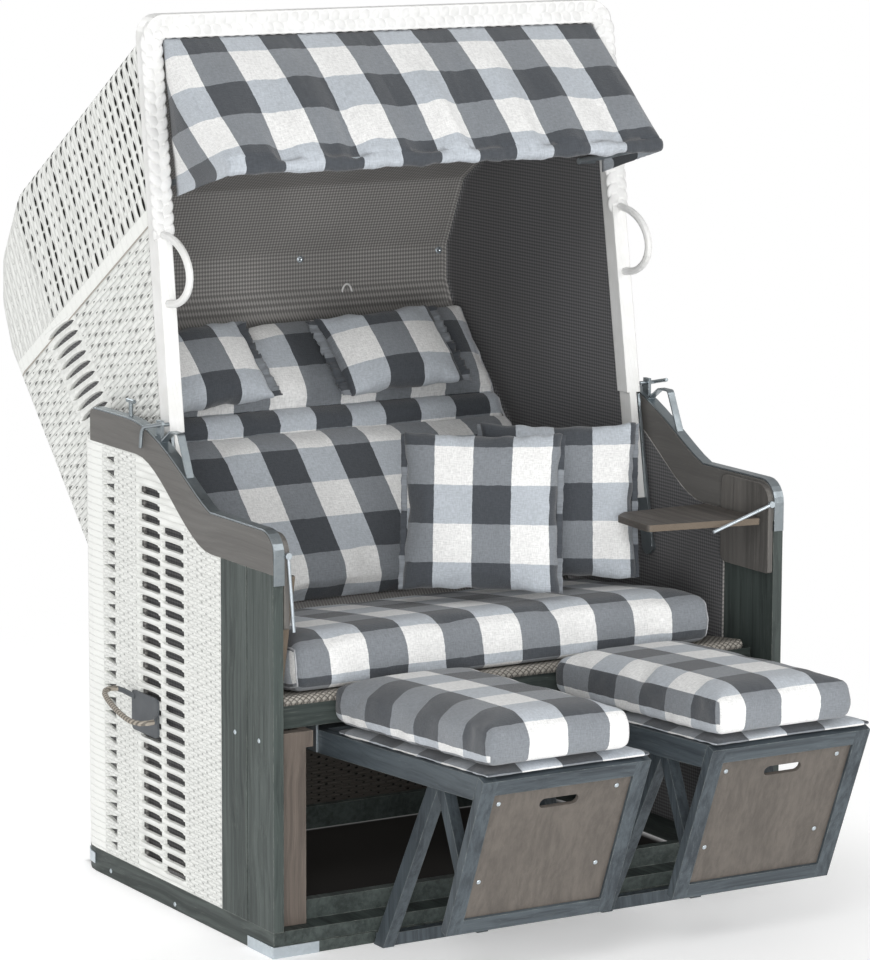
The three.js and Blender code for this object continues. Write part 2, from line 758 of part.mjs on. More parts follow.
function seatRail() {
  const front = box(-seatHalf, seatHalf, seatFront, seatFront + seatRailThickness,
    seatRailTop - seatRailHeight, seatRailTop - gap);
  const under = (y) => seatHeight - boardDrop - 3 * gap - (y - seatFront) * seatFall;
  const start = seatFront + seatRailThickness - gap;
  const end = seatFront + seatBoardLength - bearerWidth;
  const strip = (y0, y1) => shapeOf([[y0, under(y0) - bearerHeight], [y1, under(y1) - bearerHeight],
    [y1, under(y1)], [y0, under(y0)]]);
  const outer = seatBoardHalf - bearerInset;
  const bearers = sides.map(([, side]) => onSide(sideBoard(strip(start, end), outer - bearerWidth, outer), side));
  const rear = sideBoard(strip(end - bearerWidth, end), gap - outer, outer - gap);
  return join(front, ...bearers, rear);
}
add("seat_rail", seatRail(), boardBlue);

const seat = new THREE.Group();
seat.position.set(0, seatFront, seatHeight);
seat.rotation.x = -radians(seatSlope);

function seatBoard() {
  const half = seatBoardHalf;
  const board = box(-half, half, 0, seatBoardLength, -seatBoardThickness - gap, -gap);
  const nose = rod([-half, 0, -noseRadius], [half, 0, -noseRadius], noseRadius - gap);
  return join(board, nose);
}
add("seat_board", seatBoard(), weaveWhite, seat);

// An upholstered block: rounded edges, a crowned top, drawn-in sides and sewn channels
function cushion({ width, length, height, crown }, channels = [], segments = [14, 10, 3]) {
  const radius = height * 0.36;
  const half = [width / 2, length / 2, height / 2];
  const geometry = closed(new THREE.BoxGeometry(2, 2, 2, ...segments));
  const position = geometry.attributes.position;
  for (let i = 0; i < position.count; i += 1) {
    const unit = [position.getX(i), position.getY(i), position.getZ(i)];
    const spread = unit.map((value) => Math.sin((value * Math.PI) / 2));
    const raw = new THREE.Vector3(...spread.map((value, axis) => value * half[axis]));
    const core = new THREE.Vector3(...spread.map((value, axis) =>
      THREE.MathUtils.clamp(value * half[axis], radius - half[axis], half[axis] - radius)));
    const rim = raw.clone().sub(core);
    const point = rim.lengthSq() > 0 ? core.clone().add(rim.normalize().multiplyScalar(radius)) : raw;
    const drawShare = 0.012 * (1 - spread[1] ** 2);
    point.x *= 1 - drawShare;
    point.y *= 1 - 0.016 * (1 - spread[0] ** 2);
    const crownShare = (1 - spread[0] ** 2) * (1 - spread[1] ** 2);
    if (unit[2] > 0) {
      point.z += crown * crownShare;
      for (const channel of channels) {
        const away = (point.y - (half[1] - channel)) / (height / 5);
        point.z -= (height / 5) * Math.exp(-away * away);
      }
    }
    position.setXYZ(i, point.x, point.y, point.z);
  }
  return geometry;
}

// A loose pillow: thick in the middle, thin along its seam, with corners that stand out
function pillow({ width, length, height }, segments = 10) {
  const geometry = closed(new THREE.BoxGeometry(2, 2, 2, segments, segments, 1));
  const position = geometry.attributes.position;
  for (let i = 0; i < position.count; i += 1) {
    const u = Math.sin((position.getX(i) * Math.PI) / 2);
    const v = Math.sin((position.getY(i) * Math.PI) / 2);
    const fillShare = Math.max((1 - u * u) * (1 - v * v), 0) ** 0.42;
    const edgeShare = 0.07;
    const z = position.getZ(i) * (height / 2) * (edgeShare + (1 - edgeShare) * fillShare);
    const across = (u * width) / 2 * (1 - sidePull * (1 - v * v));
    position.setXYZ(i, across, (v * length) / 2 * (1 - sidePull * (1 - u * u)), z);
  }
  return geometry;
}

const cushionBottom = gap;
const seatCushionMesh = add("seat_cushion", cushion(seatCushion), clothCheck, seat);
seatCushionMesh.position.set(0, seatCushion.length / 2, cushionBottom + seatCushion.height / 2);
part.add(seat);

function placePillow(name, place, shift) {
  const mesh = add(name, pillow(throwPillow), clothCheck);
  mesh.rotation.set(Math.PI / 2 - radians(throwLean), 0, 0);
  const turned = new THREE.Group();
  turned.rotation.z = radians(throwYaw) + shift;
  turned.position.set(place.x, place.y, place.z);
  turned.add(mesh);
  part.add(turned);
}
placePillow("throw_pillow_front", throwFront, 0);
placePillow("throw_pillow_rear", throwRear, radians(seatSlope));

// Hood outline from the front of the roof, over the rounded back and down the slant
function slantPoint(from, length) {
  return [from.y + slantDown.y * length, from.z + slantDown.z * length];
}

const pairOf = ({ y, z }) => [y, z];
const slantOuterLength = slantLength - (slantOuter.y - slantInner.y) * slantDown.y
  - (slantOuter.z - slantInner.z) * slantDown.z;
const outerLine = [pairOf(roofFront), pairOf(roofRear), pairOf(backTop), pairOf(backBottom),
  pairOf(slantOuter), slantPoint(slantOuter, slantOuterLength)];
const outerRoute = rounded(outerLine, [0, knuckleRadius, knuckleRadius, knuckleRadius, knuckleRadius, 0], 3);
const innerLine = [pairOf(ceilingFront), pairOf(ceilingRear), pairOf(innerBackTop),
  pairOf(innerBackBottom), pairOf(slantInner), slantPoint(slantInner, slantLength)];
const innerRoute = rounded(innerLine, [0, knuckleRadius / 3, knuckleRadius / 3, knuckleRadius / 3,
  knuckleRadius / 3, 0], 2);
const frontAt = (z) => frontLine.y + (z - frontLine.z) * leanSlope;

// The hood narrows a little towards its top
function taperAt(z) {
  return 1 - (hoodTaper * (z - taperStart)) / (hoodHeight - taperStart);
}

function tapered(geometry) {
  const position = geometry.attributes.position;
  for (let i = 0; i < position.count; i += 1) {
    position.setX(i, position.getX(i) * taperAt(position.getZ(i)));
  }
  return geometry;
}

// The space under a route: a prism closed far in front of the hood and far below it
function spaceUnder(route, half, corner) {
  const first = route[0];
  const last = route[route.length - 1];
  const far = 4 * overrun;
  const roofSlope = (route[1][1] - first[1]) / (route[1][0] - first[0]);
  const start = [first[0] - far, first[1] - far * roofSlope];
  const end = [last[0] + slantDown.y * far, last[1] + slantDown.z * far];
  const shape = shapeOf([start, ...route.slice(1, -1), end, [start[0], end[1]]].reverse());
  if (!corner) {
    return sideBoard(shape, -half, half);
  }
  const settings = { depth: 2 * (half - corner), bevelEnabled: true, bevelThickness: corner,
    bevelSize: corner, bevelOffset: -corner, bevelSegments: shellCornerSteps };
  const axes = new THREE.Matrix4().set(0, 0, 1, corner - half, 1, 0, 0, 0, 0, 1, 0, 0, 0, 0, 0, 1);
  return new THREE.ExtrudeGeometry(shape, settings).applyMatrix4(axes);
}

// What the hood keeps: behind the rim, above the side walls' lower edge, and the narrower tail below it
function hoodKeep(extra) {
  const rear = rimDepth + gap;
  const lowFront = frontAt(sideWallFront) + rear;
  const topFront = frontAt(hoodHeight + overrun) + rear;
  const tail = outerLine[outerLine.length - 1];
  const tailInner = innerLine[innerLine.length - 1];
  const far = outerLine[3][0] + overrun;
  const walls = sideBoard(shapeOf([[lowFront, sideWallFront], [sideWallRear.y, sideWallRear.z],
    [far, sideWallRear.z], [far, hoodHeight + overrun], [topFront, hoodHeight + overrun]]),
  -halfWidth, halfWidth);
  const reach = tailHalf - extra;
  const lower = sideBoard(shapeOf([tailInner.map((value, i) => value - (i ? 0 : overrun)), tail,
    [sideWallRear.y + overrun, sideWallRear.z], [sideWallRear.y, sideWallRear.z + overrun],
    [sideWallRear.y - 3 * overrun, sideWallRear.z + 2 * overrun]]), -reach, reach);
  return join(walls, lower);
}

function ventSlots() {
  return Array.from({ length: ventCount }, (_, i) => {
    const share = i / (ventCount - 1);
    const angle = radians(ventFirstAngle + (ventLastAngle - ventFirstAngle) * share);
    const at = (radius, across) => [ventHub.y + radius * Math.sin(angle) + across * Math.cos(angle),
      ventHub.z + radius * Math.cos(angle) - across * Math.sin(angle)];
    const outline = shapeOf([at(ventInner, -ventWidth / 4), at(ventInner, ventWidth / 4),
      at(ventOuter, ventWidth), at(ventOuter, -ventWidth)].reverse());
    return sideBoard(outline, -halfWidth, halfWidth);
  });
}

function hoodShell() {
  const outside = spaceUnder(outerRoute, shellHalf, shellCorner);
  const inside = spaceUnder(offset(outerRoute, -shellThickness), shellHalf - shellThickness,
    shellCorner - shellThickness);
  const shell = cut(common(outside, hoodKeep(0)), inside, ...ventSlots());
  return tapered(shell);
}

const liningHalf = shellHalf - shellThickness - gap;

function hoodLining() {
  const outside = spaceUnder(offset(innerRoute, liningSheet), liningHalf, liningCorner);
  const inside = spaceUnder(innerRoute, liningHalf - liningSheet, liningCorner - liningSheet);
  return tapered(cut(common(outside, hoodKeep(gap)), inside));
}

// Wooden frame between the woven shell and the lining: two side ribs and cross battens
function hoodFrame() {
  const outside = spaceUnder(offset(outerRoute, -shellThickness - gap), liningHalf, shellCorner - shellThickness);
  const inside = spaceUnder(offset(innerRoute, liningSheet + gap), liningHalf + overrun, 0);
  const band = cut(common(outside, hoodKeep(shellThickness)), inside);
  const window = tailHalf - 2 * frameRib;
  const far = outerLine[3][0] + overrun;
  const windows = [
    box(-window, window, frontAt(hoodHeight) + rimDepth + 2 * frameRib, roofRear.y - 2 * frameRib,
      roofRear.z + frameRib, hoodHeight + overrun),
    box(-window, window, innerBackTop.y - 4 * frameRib, far, slantOuter.z + frameRib, backTop.z + frameRib),
    box(-window, window, sideWallRear.y, far, sideWallRear.z + 2 * frameRib, slantOuter.z - frameRib),
  ];
  return tapered(cut(band, ...windows));
}

// Braided rim of the hood: an upside-down U with a tongue below each leg
function hoodRim() {
  const top = hoodHeight;
  const middle = rounded([[-rimOuter, rimSideBottom], [-rimOuter, top], [rimOuter, top], [rimOuter, rimSideBottom],
    [rimInner, rimSideBottom], [rimInner, top - rimTopHeight], [-rimInner, top - rimTopHeight],
    [-rimInner, rimSideBottom]], [0, rimCorner, rimCorner, 0, 0, rimCorner / 4, rimCorner / 4, 0], cornerSteps);
  const bow = frontBoard(shapeOf(middle.reverse()), 0, rimDepth);
  const tongues = sides.map(([, side]) => onSide(box(tongueInner, tongueOuter, 0, rimDepth, tongueBottom,
    rimSideBottom + gap), side));
  const rim = join(bow, ...tongues);
  const position = rim.attributes.position;
  for (let i = 0; i < position.count; i += 1) {
    position.setY(i, position.getY(i) + frontAt(position.getZ(i)));
  }
  return tapered(rim);
}

// Strap: a flat steel bar outside the tongue, round at its lower end, with the pivot boss
function strap() {
  const inner = tongueOuter + 2 * gap;
  const upper = { y: frontAt(strapTop) + rimDepth / 2, z: strapTop };
  const direction = new THREE.Vector2(upper.y - strapPivot.y, upper.z - strapPivot.z).normalize();
  const across = new THREE.Vector2(direction.y, -direction.x).multiplyScalar(strapWidth / 2);
  const low = strapPivot;
  const end = Array.from({ length: 2 * cornerSteps + 1 }, (_, i) => {
    const angle = Math.PI * (i / (2 * cornerSteps));
    const point = across.clone().rotateAround(new THREE.Vector2(), angle - Math.PI);
    return [low.y + point.x, low.z + point.y];
  });
  const outline = shapeOf([...end, [upper.y + across.x, upper.z + across.y], [upper.y - across.x, upper.z - across.y]]);
  const bar = sideBoard(outline, inner, inner + strapThickness);
  const boss = rod([inner + gap, low.y, low.z], [bossReach, low.y, low.z], bossRadius, 20);
  return join(bar, boss);
}

function bowHandle() {
  const points = Array.from({ length: 9 }, (_, i) => {
    const angle = Math.PI * (i / 8);
    const z = bowCentreHeight + bowHalfHeight * Math.cos(angle);
    return [bowPlace, frontAt(z) - gap - bowReach * Math.sin(angle), z];
  });
  const bow = tube(points, bowTubeRadius, 3 * cornerSteps);
  const behind = sideBoard(shapeOf([[frontAt(bowCentreHeight - overrun * 2) - gap, bowCentreHeight - overrun * 2],
    [frontAt(bowCentreHeight - overrun * 2) + overrun, bowCentreHeight - overrun * 2],
    [frontAt(bowCentreHeight + overrun * 2) + overrun, bowCentreHeight + overrun * 2],
    [frontAt(bowCentreHeight + overrun * 2) - gap, bowCentreHeight + overrun * 2]]), 0, halfWidth);
  return cut(bow, behind);
}

add("hood_shell", hoodShell(), weaveWhite);
add("hood_lining", hoodLining(), liningGrey);
add("hood_frame", hoodFrame(), boardBrown);
add("hood_rim", hoodRim(), steelWhite);
for (const [name, side] of sides) {
  add(`strap_${name}`, onSide(strap(), side), steelBright);
  add(`bow_handle_${name}`, onSide(bowHandle(), side), steelWhite);
}

// Upholstery on the slanted back of the hood
const slant = new THREE.Group();
slant.position.set(0, slantInner.y, slantInner.z);
slant.rotation.x = radians(slantAngle);
const backMesh = add("back_cushion", cushion(backCushion, backCushionRoll, [14, 16, 2]), clothCheck, slant);
backMesh.position.set(0, -backCushionTop - backCushion.length / 2, gap + backCushion.height / 2);
sides.forEach(([name], i) => {
  const mesh = add(`neck_pillow_${name}`, pillow(neckPillow), clothCheck, slant);
  const rise = backCushion.height + neckPillowLift + neckPillow.height / 2;
  mesh.position.set(neckPillowPlaces[i], -neckPillowDrops[i] - neckPillow.length / 2, rise);
  mesh.rotation.z = radians(neckPillowTurns[i]);
});
part.add(slant);

// Awning: two arms and a front bar, and the cloth that hangs from the rim to the bar
function awningFrame() {
  const arms = sides.map(([, side]) => join(
    rod([side * awningArmPlace, awningPivot.y, awningPivot.z], [side * awningArmPlace, awningTip.y, awningTip.z],
      awningArmRadius),
    rod([side * (awningArmPlace - awningArmRadius), awningPivot.y, awningPivot.z],
      [side * ((liningHalf - liningSheet) * taperAt(awningPivot.z) - gap), awningPivot.y, awningPivot.z],
      awningArmRadius)));
  const bar = rod([-awningArmPlace, awningTip.y, awningTip.z], [awningArmPlace, awningTip.y, awningTip.z],
    awningBar);
  return join(...arms, bar);
}
add("awning_frame", awningFrame(), steelBright);

// The cloth: a front sheet with folds, and a side panel that runs back from each of its edges to the rim
function awningCloth() {
  const frontCells = 24;
  const sideCells = 4;
  const rows = 8;
  const cells = frontCells + 2 * sideCells;
  const sideShare = (2 * sideCells) / cells;
  const bottom = { y: awningTip.y, z: awningTip.z + awningBar + 2 * gap };
  const run = new THREE.Vector2(bottom.y - awningRoot.y, bottom.z - awningRoot.z);
  const normal = new THREE.Vector2(run.y, -run.x).normalize();
  const geometry = closed(new THREE.BoxGeometry(2, 2, 2, cells, rows, 1));
  const position = geometry.attributes.position;
  for (let i = 0; i < position.count; i += 1) {
    const u = position.getX(i);
    const t = (position.getY(i) + 1) / 2;
    const layer = ((position.getZ(i) + 1) * clothThickness) / 2;
    const across = Math.min(Math.abs(u) / (1 - sideShare), 1);
    const back = Math.max((Math.abs(u) - 1 + sideShare) / sideShare, 0);
    const sag = awningBelly * 4 * t * (1 - t) * (1 - across ** 4);
    const fold = foldDepth * (1 + Math.cos(across * clothFolds * Math.PI)) * t * (back > 0 ? 0 : 1);
    const lift = (layer + fold) * (1 - back) + sag;
    const front = { y: awningRoot.y + run.x * t + normal.x * lift, z: awningRoot.z + run.y * t + normal.y * lift };
    const rear = { y: awningRoot.y + (awningRear.y - awningRoot.y) * t,
      z: awningRoot.z + (awningRear.z - awningRoot.z) * t };
    position.setXYZ(i, -Math.sign(u) * (across * clothHalf + (across < 1 ? 0 : layer)),
      front.y + (rear.y - front.y) * back, front.z + (rear.z - front.z) * back);
  }
  return geometry;
}
add("awning_cloth", awningCloth(), clothCheck);

// Footrest: rails on a rear hinge, pad, cushion, front panel and the folding leg frame
const railSlope = Math.tan(radians(footRailSlope));
const railTopAt = (y) => footRailTopAtPivot + (footPivot.y - y) * railSlope;

function footFrame() {
  const rear = footPivot.y + footRailTail;
  const tilt = radians(panelTilt);
  const back = { y: panelTop.y + panelThickness * Math.cos(tilt), z: panelTop.z + panelThickness * Math.sin(tilt) };
  const frontAtHeight = (z) => back.y + gap / Math.cos(tilt) + (back.z - z) * Math.tan(tilt);
  const faces = [footRailHeight, 0].map((depth) => {
    const near = frontAtHeight(railTopAt(back.y) - depth);
    return frontAtHeight(railTopAt(near) - depth) + gap / 2;
  });
  const outline = shapeOf([[faces[0], railTopAt(faces[0]) - footRailHeight],
    [rear, railTopAt(rear) - footRailHeight], [rear, railTopAt(rear)], [faces[1], railTopAt(faces[1])]]);
  const nose = sideBoard(shapeOf([[faces[0], railTopAt(faces[0]) - footRailHeight],
    [faces[0] + footCrossWidth, railTopAt(faces[0] + footCrossWidth) - footRailHeight],
    [faces[0] + footCrossWidth, railTopAt(faces[0] + footCrossWidth)], [faces[1], railTopAt(faces[1])]]),
  -footHalf + gap, footHalf - gap);
  const rails = sides.map(([, side]) => onSide(sideBoard(outline, footHalf - footRailWidth, footHalf), side));
  const cross = (y, width) => sideBoard(shapeOf([[y, railTopAt(y) - footRailHeight],
    [y + width, railTopAt(y + width) - footRailHeight], [y + width, railTopAt(y + width)], [y, railTopAt(y)]]),
  -footHalf + gap, footHalf - gap);
  const pin = rod([-footHalf - hingeEarThickness - 2 * gap, footPivot.y, footPivot.z],
    [footHalf + hingeEarThickness + 2 * gap, footPivot.y, footPivot.z], footPinRadius);
  return join(...rails, nose, cross(rear - footCrossWidth, footCrossWidth), pin);
}

// Hinge bracket under the seat board: a plate with an ear on each side of the footrest
function footHinge() {
  const top = seatHeight - Math.tan(radians(seatSlope)) * (footPivot.y + hingePlateDepth / 2 - seatFront)
    - seatBoardThickness - 3 * gap;
  const inner = footHalf + gap;
  const outer = inner + hingeEarThickness;
  const front = footPivot.y - hingePlateDepth / 2;
  const rear = footPivot.y + hingePlateDepth / 2;
  const plate = box(-outer, outer, Math.max(front, seatFront + seatRailThickness + gap), rear,
    top - hingeEarThickness, top);
  const ears = sides.map(([, side]) => onSide(box(inner, outer,
    Math.max(front, seatFront + seatRailThickness + gap), rear, footPivot.z - hingeEarHeight / 2,
    top - gap), side));
  const hole = rod([-outer - overrun, footPivot.y, footPivot.z], [outer + overrun, footPivot.y, footPivot.z],
    footPinHole, 16);
  return cut(join(plate, ...ears), hole);
}

function pad() {
  return box(-footHalf + padInset, footHalf - padInset, 0, padRear - padFront, gap, gap + padThickness);
}

// Front panel in the frame of its top edge: a mitred frame and a plate with a hand slot
function panelFrame() {
  const outline = shapeOf([[-footHalf, -panelLength], [footHalf, -panelLength], [footHalf, 0], [-footHalf, 0]]);
  const inner = footHalf - panelMember;
  outline.holes.push(shapeOf([[-inner, panelMember - panelLength], [-inner, -panelMember], [inner, -panelMember],
    [inner, panelMember - panelLength]]));
  return frontBoard(outline, 0, panelThickness);
}

function panelPlate() {
  const half = footHalf - panelMember - gap;
  const top = -panelMember - gap;
  const bottom = panelMember - panelLength + gap;
  const outline = shapeOf([[-half, bottom], [half, bottom], [half, top], [-half, top]]);
  const straight = (panelSlotWidth - panelSlotHeight) / 2;
  const slot = new THREE.Path();
  slot.absarc(straight, -panelSlotFromTop, panelSlotHeight / 2, Math.PI / 2, -Math.PI / 2, true);
  slot.absarc(-straight, -panelSlotFromTop, panelSlotHeight / 2, -Math.PI / 2, -Math.PI * 1.5, true);
  outline.holes.push(slot);
  const front = (panelThickness - panelPlateThickness) / 2;
  return new THREE.ExtrudeGeometry(outline, { depth: panelPlateThickness, bevelEnabled: false, curveSegments: 6 })
    .applyMatrix4(new THREE.Matrix4().set(1, 0, 0, 0, 0, 0, -1, front + panelPlateThickness, 0, 1, 0, 0, 0, 0, 0, 1));
}

// Folding leg frame: two legs and their braces on a pivot tube, joined by a bar at the feet
function legFrame() {
  const lean = radians(legLean);
  const drop = legPivot.z;
  const width = legDepth / Math.cos(lean) / 2;
  const foot = Math.tan(lean) * drop;
  const leg = shapeOf([[-width, 0], [foot - width, -drop], [foot + width, -drop], [width, 0]]);
  const tilt = radians(braceLean);
  const end = [-Math.sin(tilt) * braceLength, -Math.cos(tilt) * braceLength];
  const reach = braceDepth / 2;
  const side = [Math.cos(tilt) * reach, -Math.sin(tilt) * reach];
  const brace = shapeOf([[-side[0], -side[1]], [end[0] - side[0], end[1] - side[1]],
    [end[0] + side[0], end[1] + side[1]], [side[0], side[1]]]);
  const inner = (legSpacing - legWidth) / 2;
  const outer = inner + legWidth;
  const legs = sides.flatMap(([, hand]) => [onSide(sideBoard(leg, inner, outer), hand),
    onSide(sideBoard(brace, inner, outer), hand)]);
  const tubeHalf = footHalf - footRailWidth - gap;
  const pivot = rod([-tubeHalf, 0, 0], [tubeHalf, 0, 0], pivotTubeRadius, 16);
  const bar = box(-outer + gap, outer - gap, foot - legDepth / 3, foot + legDepth / 3, -drop,
    footBarHeight - drop);
  return join(...legs, pivot, bar);
}

for (const [name, side] of sides) {
  const footrest = new THREE.Group();
  footrest.position.set(side * footCentre, 0, 0);
  add(`footrest_frame_${name}`, footFrame(), boardBlue, footrest);
  add(`footrest_hinge_${name}`, footHinge(), steelBright, footrest);
  const deck = new THREE.Group();
  deck.position.set(0, padFront, railTopAt(padFront));
  deck.rotation.x = -radians(footRailSlope);
  add(`footrest_pad_${name}`, pad(), clothCheck, deck);
  const length = padRear - footCushionFront;
  const cushionSize = { width: footCushionWidth, length, height: footCushionHeight, crown: 6 };
  const top = add(`footrest_cushion_${name}`, cushion(cushionSize, [], [10, 10, 3]), clothCheck, deck);
  top.position.set(footCushionShift, footCushionFront - padFront + length / 2, padThickness + 2 * gap + footCushionHeight / 2);
  const panel = new THREE.Group();
  panel.position.set(0, panelTop.y, panelTop.z);
  panel.rotation.x = radians(panelTilt);
  add(`footrest_panel_frame_${name}`, panelFrame(), boardBlue, panel);
  add(`footrest_panel_plate_${name}`, panelPlate(), boardBrown, panel);
  const leg = new THREE.Group();
  leg.position.set(0, legPivot.y, legPivot.z);
  add(`footrest_leg_${name}`, legFrame(), boardBlue, leg);
  footrest.add(deck, panel, leg);
  part.add(footrest);
}

// The origin is on the floor under the middle of the chair's box
part.updateMatrixWorld(true);
const bounds = new THREE.Box3().setFromObject(part, true);
part.position.set(-(bounds.min.x + bounds.max.x) / 2, -(bounds.min.y + bounds.max.y) / 2, -bounds.min.z);

export default part;
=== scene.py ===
"""Looks of a hooded two-seat beach chair: woven hood and sides, stained boards, checked upholstery and steel
fittings, built as separate pieces round the fixed frame. Lengths are in metres, in the frame's axes: X runs along
the seat, Y towards the back and Z up."""
import math

import bmesh
import bpy
import numpy as np
from mathutils import Matrix, Vector, noise


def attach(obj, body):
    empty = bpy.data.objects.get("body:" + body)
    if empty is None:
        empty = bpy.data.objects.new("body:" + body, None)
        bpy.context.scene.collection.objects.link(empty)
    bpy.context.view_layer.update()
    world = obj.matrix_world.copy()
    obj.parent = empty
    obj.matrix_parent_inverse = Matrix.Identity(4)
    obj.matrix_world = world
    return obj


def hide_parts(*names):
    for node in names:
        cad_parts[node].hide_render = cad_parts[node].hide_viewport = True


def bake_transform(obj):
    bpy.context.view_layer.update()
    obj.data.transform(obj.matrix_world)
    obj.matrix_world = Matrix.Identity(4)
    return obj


bl_info = {
    "name": "Hooded Beach Chair",
    "version": (1, 0, 0),
    "blender": (4, 5, 0),
    "location": "3D View > Sidebar > Beach Chair",
    "description": "Builds the looks of a hooded two-seat beach chair round its frame",
    "category": "Object",
}

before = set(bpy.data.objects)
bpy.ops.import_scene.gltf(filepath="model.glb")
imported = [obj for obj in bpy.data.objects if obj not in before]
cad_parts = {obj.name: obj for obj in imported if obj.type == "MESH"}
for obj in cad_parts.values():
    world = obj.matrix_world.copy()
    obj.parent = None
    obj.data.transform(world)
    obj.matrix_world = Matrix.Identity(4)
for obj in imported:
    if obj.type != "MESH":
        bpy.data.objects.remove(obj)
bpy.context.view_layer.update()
SIDES = (("left", -1), ("right", 1))

# Places on the chair. Depths are counted from the part's own origin, and DEPTH_SHIFT moves them into the frame.
DEPTH_SHIFT = -0.343097
SEAT_FRONT = (0.0, 0.060, 0.441)
SEAT_SLOPE = -6.5
SLANT_TOP = (0.0, 1.062, 0.946)
SLANT_ANGLE = 45.3
DECK_FRONT = (0.225, -0.462, 0.39498)
DECK_SLOPE = -2.9
PANEL_TOP = (0.225, -0.456, 0.3868)
PANEL_TILT = 22.2
HOOD_HEIGHT = 1.573
RIM_LINE = (0.525, 1.530)
RIM_SLOPE = math.tan(math.radians(8.4))
TAPER = 0.02
TAPER_START = 0.700
ROOF_AXIS = (0.8416, -0.5402)
HOOD_PROFILE = ((0.540, 1.567), (1.090, 1.214), (1.160, 1.086), (1.160, 0.990), (1.117, 0.897), (0.610, 0.385))
SEAM_HEIGHT = 1.297
FAN_HUB = (0.748, 0.852)
FAN_REACH = 0.17
SLOT_COUNT = 9
SLOT_FIRST = Vector((0.8803, 0.9742))
SLOT_LAST = Vector((0.7424, 0.8408))
SLOT_AXIS = Vector((0.906, -0.423))
SLOT_LENGTH = 0.118
SLOT_WIDTH = 0.0130
SLOT_BOW = 0.0035
AWNING_ROOT = (0.535, 1.528)
AWNING_TIP = (0.298, 1.331)
AWNING_REAR = (0.486, 1.268)
AWNING_BAR = Vector((0.298, 1.322))
AWNING_HALF = 0.447
BOARD_SCREWS = ((-0.2075, 0.3695), (-0.2932, 0.3711), (0.2713, 0.0129), (0.0198, 0.0100))
PANEL_SCREWS = ((-0.120, 0.050), (0.109, 0.046), (-0.121, 0.206), (0.107, 0.202))
LINING_BUTTONS = (0.1348, 0.4508)

# Side of a square on the awning, the neck pillows and the footrests
PRINT_SQUARE = 0.0787

# The camera of the stage: its place, its turns about X, Y and Z in degrees, and its width of film in millimetres
CAMERA_PLACE = (-3.95349, -6.56545, 2.05242)
CAMERA_TURNS = (80.229, -0.199, -31.014)
CAMERA_FILM = 36.0


def row(x, y, z):
    """A point in the frame's axes."""
    return Vector((x, y + DEPTH_SHIFT, z))


def placed(point, *turns):
    """A local frame at a point, turned about its own axes in order, each turn an axis and its degrees."""
    matrix = Matrix.Translation(row(*point))
    for axis, degrees in turns:
        matrix = matrix @ Matrix.Rotation(math.radians(degrees), 4, axis)
    return matrix


def taper_at(z):
    """The share of its full width that the hood has at a height."""
    return 1 - TAPER * (z - TAPER_START) / (HOOD_HEIGHT - TAPER_START)


def rim_front(z):
    """How far back the front of the hood rim lies at a height."""
    return RIM_LINE[0] + (z - RIM_LINE[1]) * RIM_SLOPE


class ClothSettings(bpy.types.PropertyGroup):
    """Sizes of the checked cloth and of its filling."""

    square: bpy.props.FloatProperty(
        name="Square", description="Side of one check square", default=0.079, min=0.01, unit="LENGTH")
    thread: bpy.props.FloatProperty(
        name="Thread", description="Distance between two threads", default=0.0011, min=0.0002, unit="LENGTH")
    pressure: bpy.props.FloatProperty(
        name="Pressure", description="How hard the filling presses on the cloth", default=4.0, min=0.0)
    steps: bpy.props.IntProperty(
        name="Steps", description="Frames of the cloth simulation", default=20, min=1)
    movement: bpy.props.FloatProperty(
        name="Movement", description="How far the simulation may move a point", default=0.016, min=0.0,
        unit="LENGTH")
    pucker: bpy.props.FloatProperty(
        name="Pucker", description="Height of the gathers beside a seam", default=0.0022, min=0.0,
        unit="LENGTH")


class WeaveSettings(bpy.types.PropertyGroup):
    """Sizes of the plaited strands."""

    rib: bpy.props.FloatProperty(
        name="Rib", description="Distance between two ribs under the strands", default=0.025, min=0.005,
        unit="LENGTH")
    row: bpy.props.FloatProperty(
        name="Row", description="Distance between two rows of holes", default=0.0243, min=0.005, unit="LENGTH")
    lobe: bpy.props.FloatProperty(
        name="Lobe", description="Distance between two lobes of the braided rim", default=0.021, min=0.005,
        unit="LENGTH")
    strand: bpy.props.FloatProperty(
        name="Strand", description="Radius of a strand of the braided rim", default=0.0105, min=0.001,
        unit="LENGTH")


class StageSettings(bpy.types.PropertyGroup):
    """Light and camera."""

    key: bpy.props.FloatProperty(
        name="Key", description="Power of the key light in watts", default=85.0, min=0.0)
    fill: bpy.props.FloatProperty(
        name="Fill", description="Power of the fill light in watts", default=90.0, min=0.0)
    sky: bpy.props.FloatProperty(
        name="Sky", description="Strength of the even light from all sides", default=0.5, min=0.0)
    lens: bpy.props.FloatProperty(
        name="Lens", description="Focal length in millimetres", default=161.488, min=10.0)


SETTINGS_HOLDERS = (
    ("chair_cloth", ClothSettings),
    ("chair_weave", WeaveSettings),
    ("chair_stage", StageSettings),
)


# Node trees

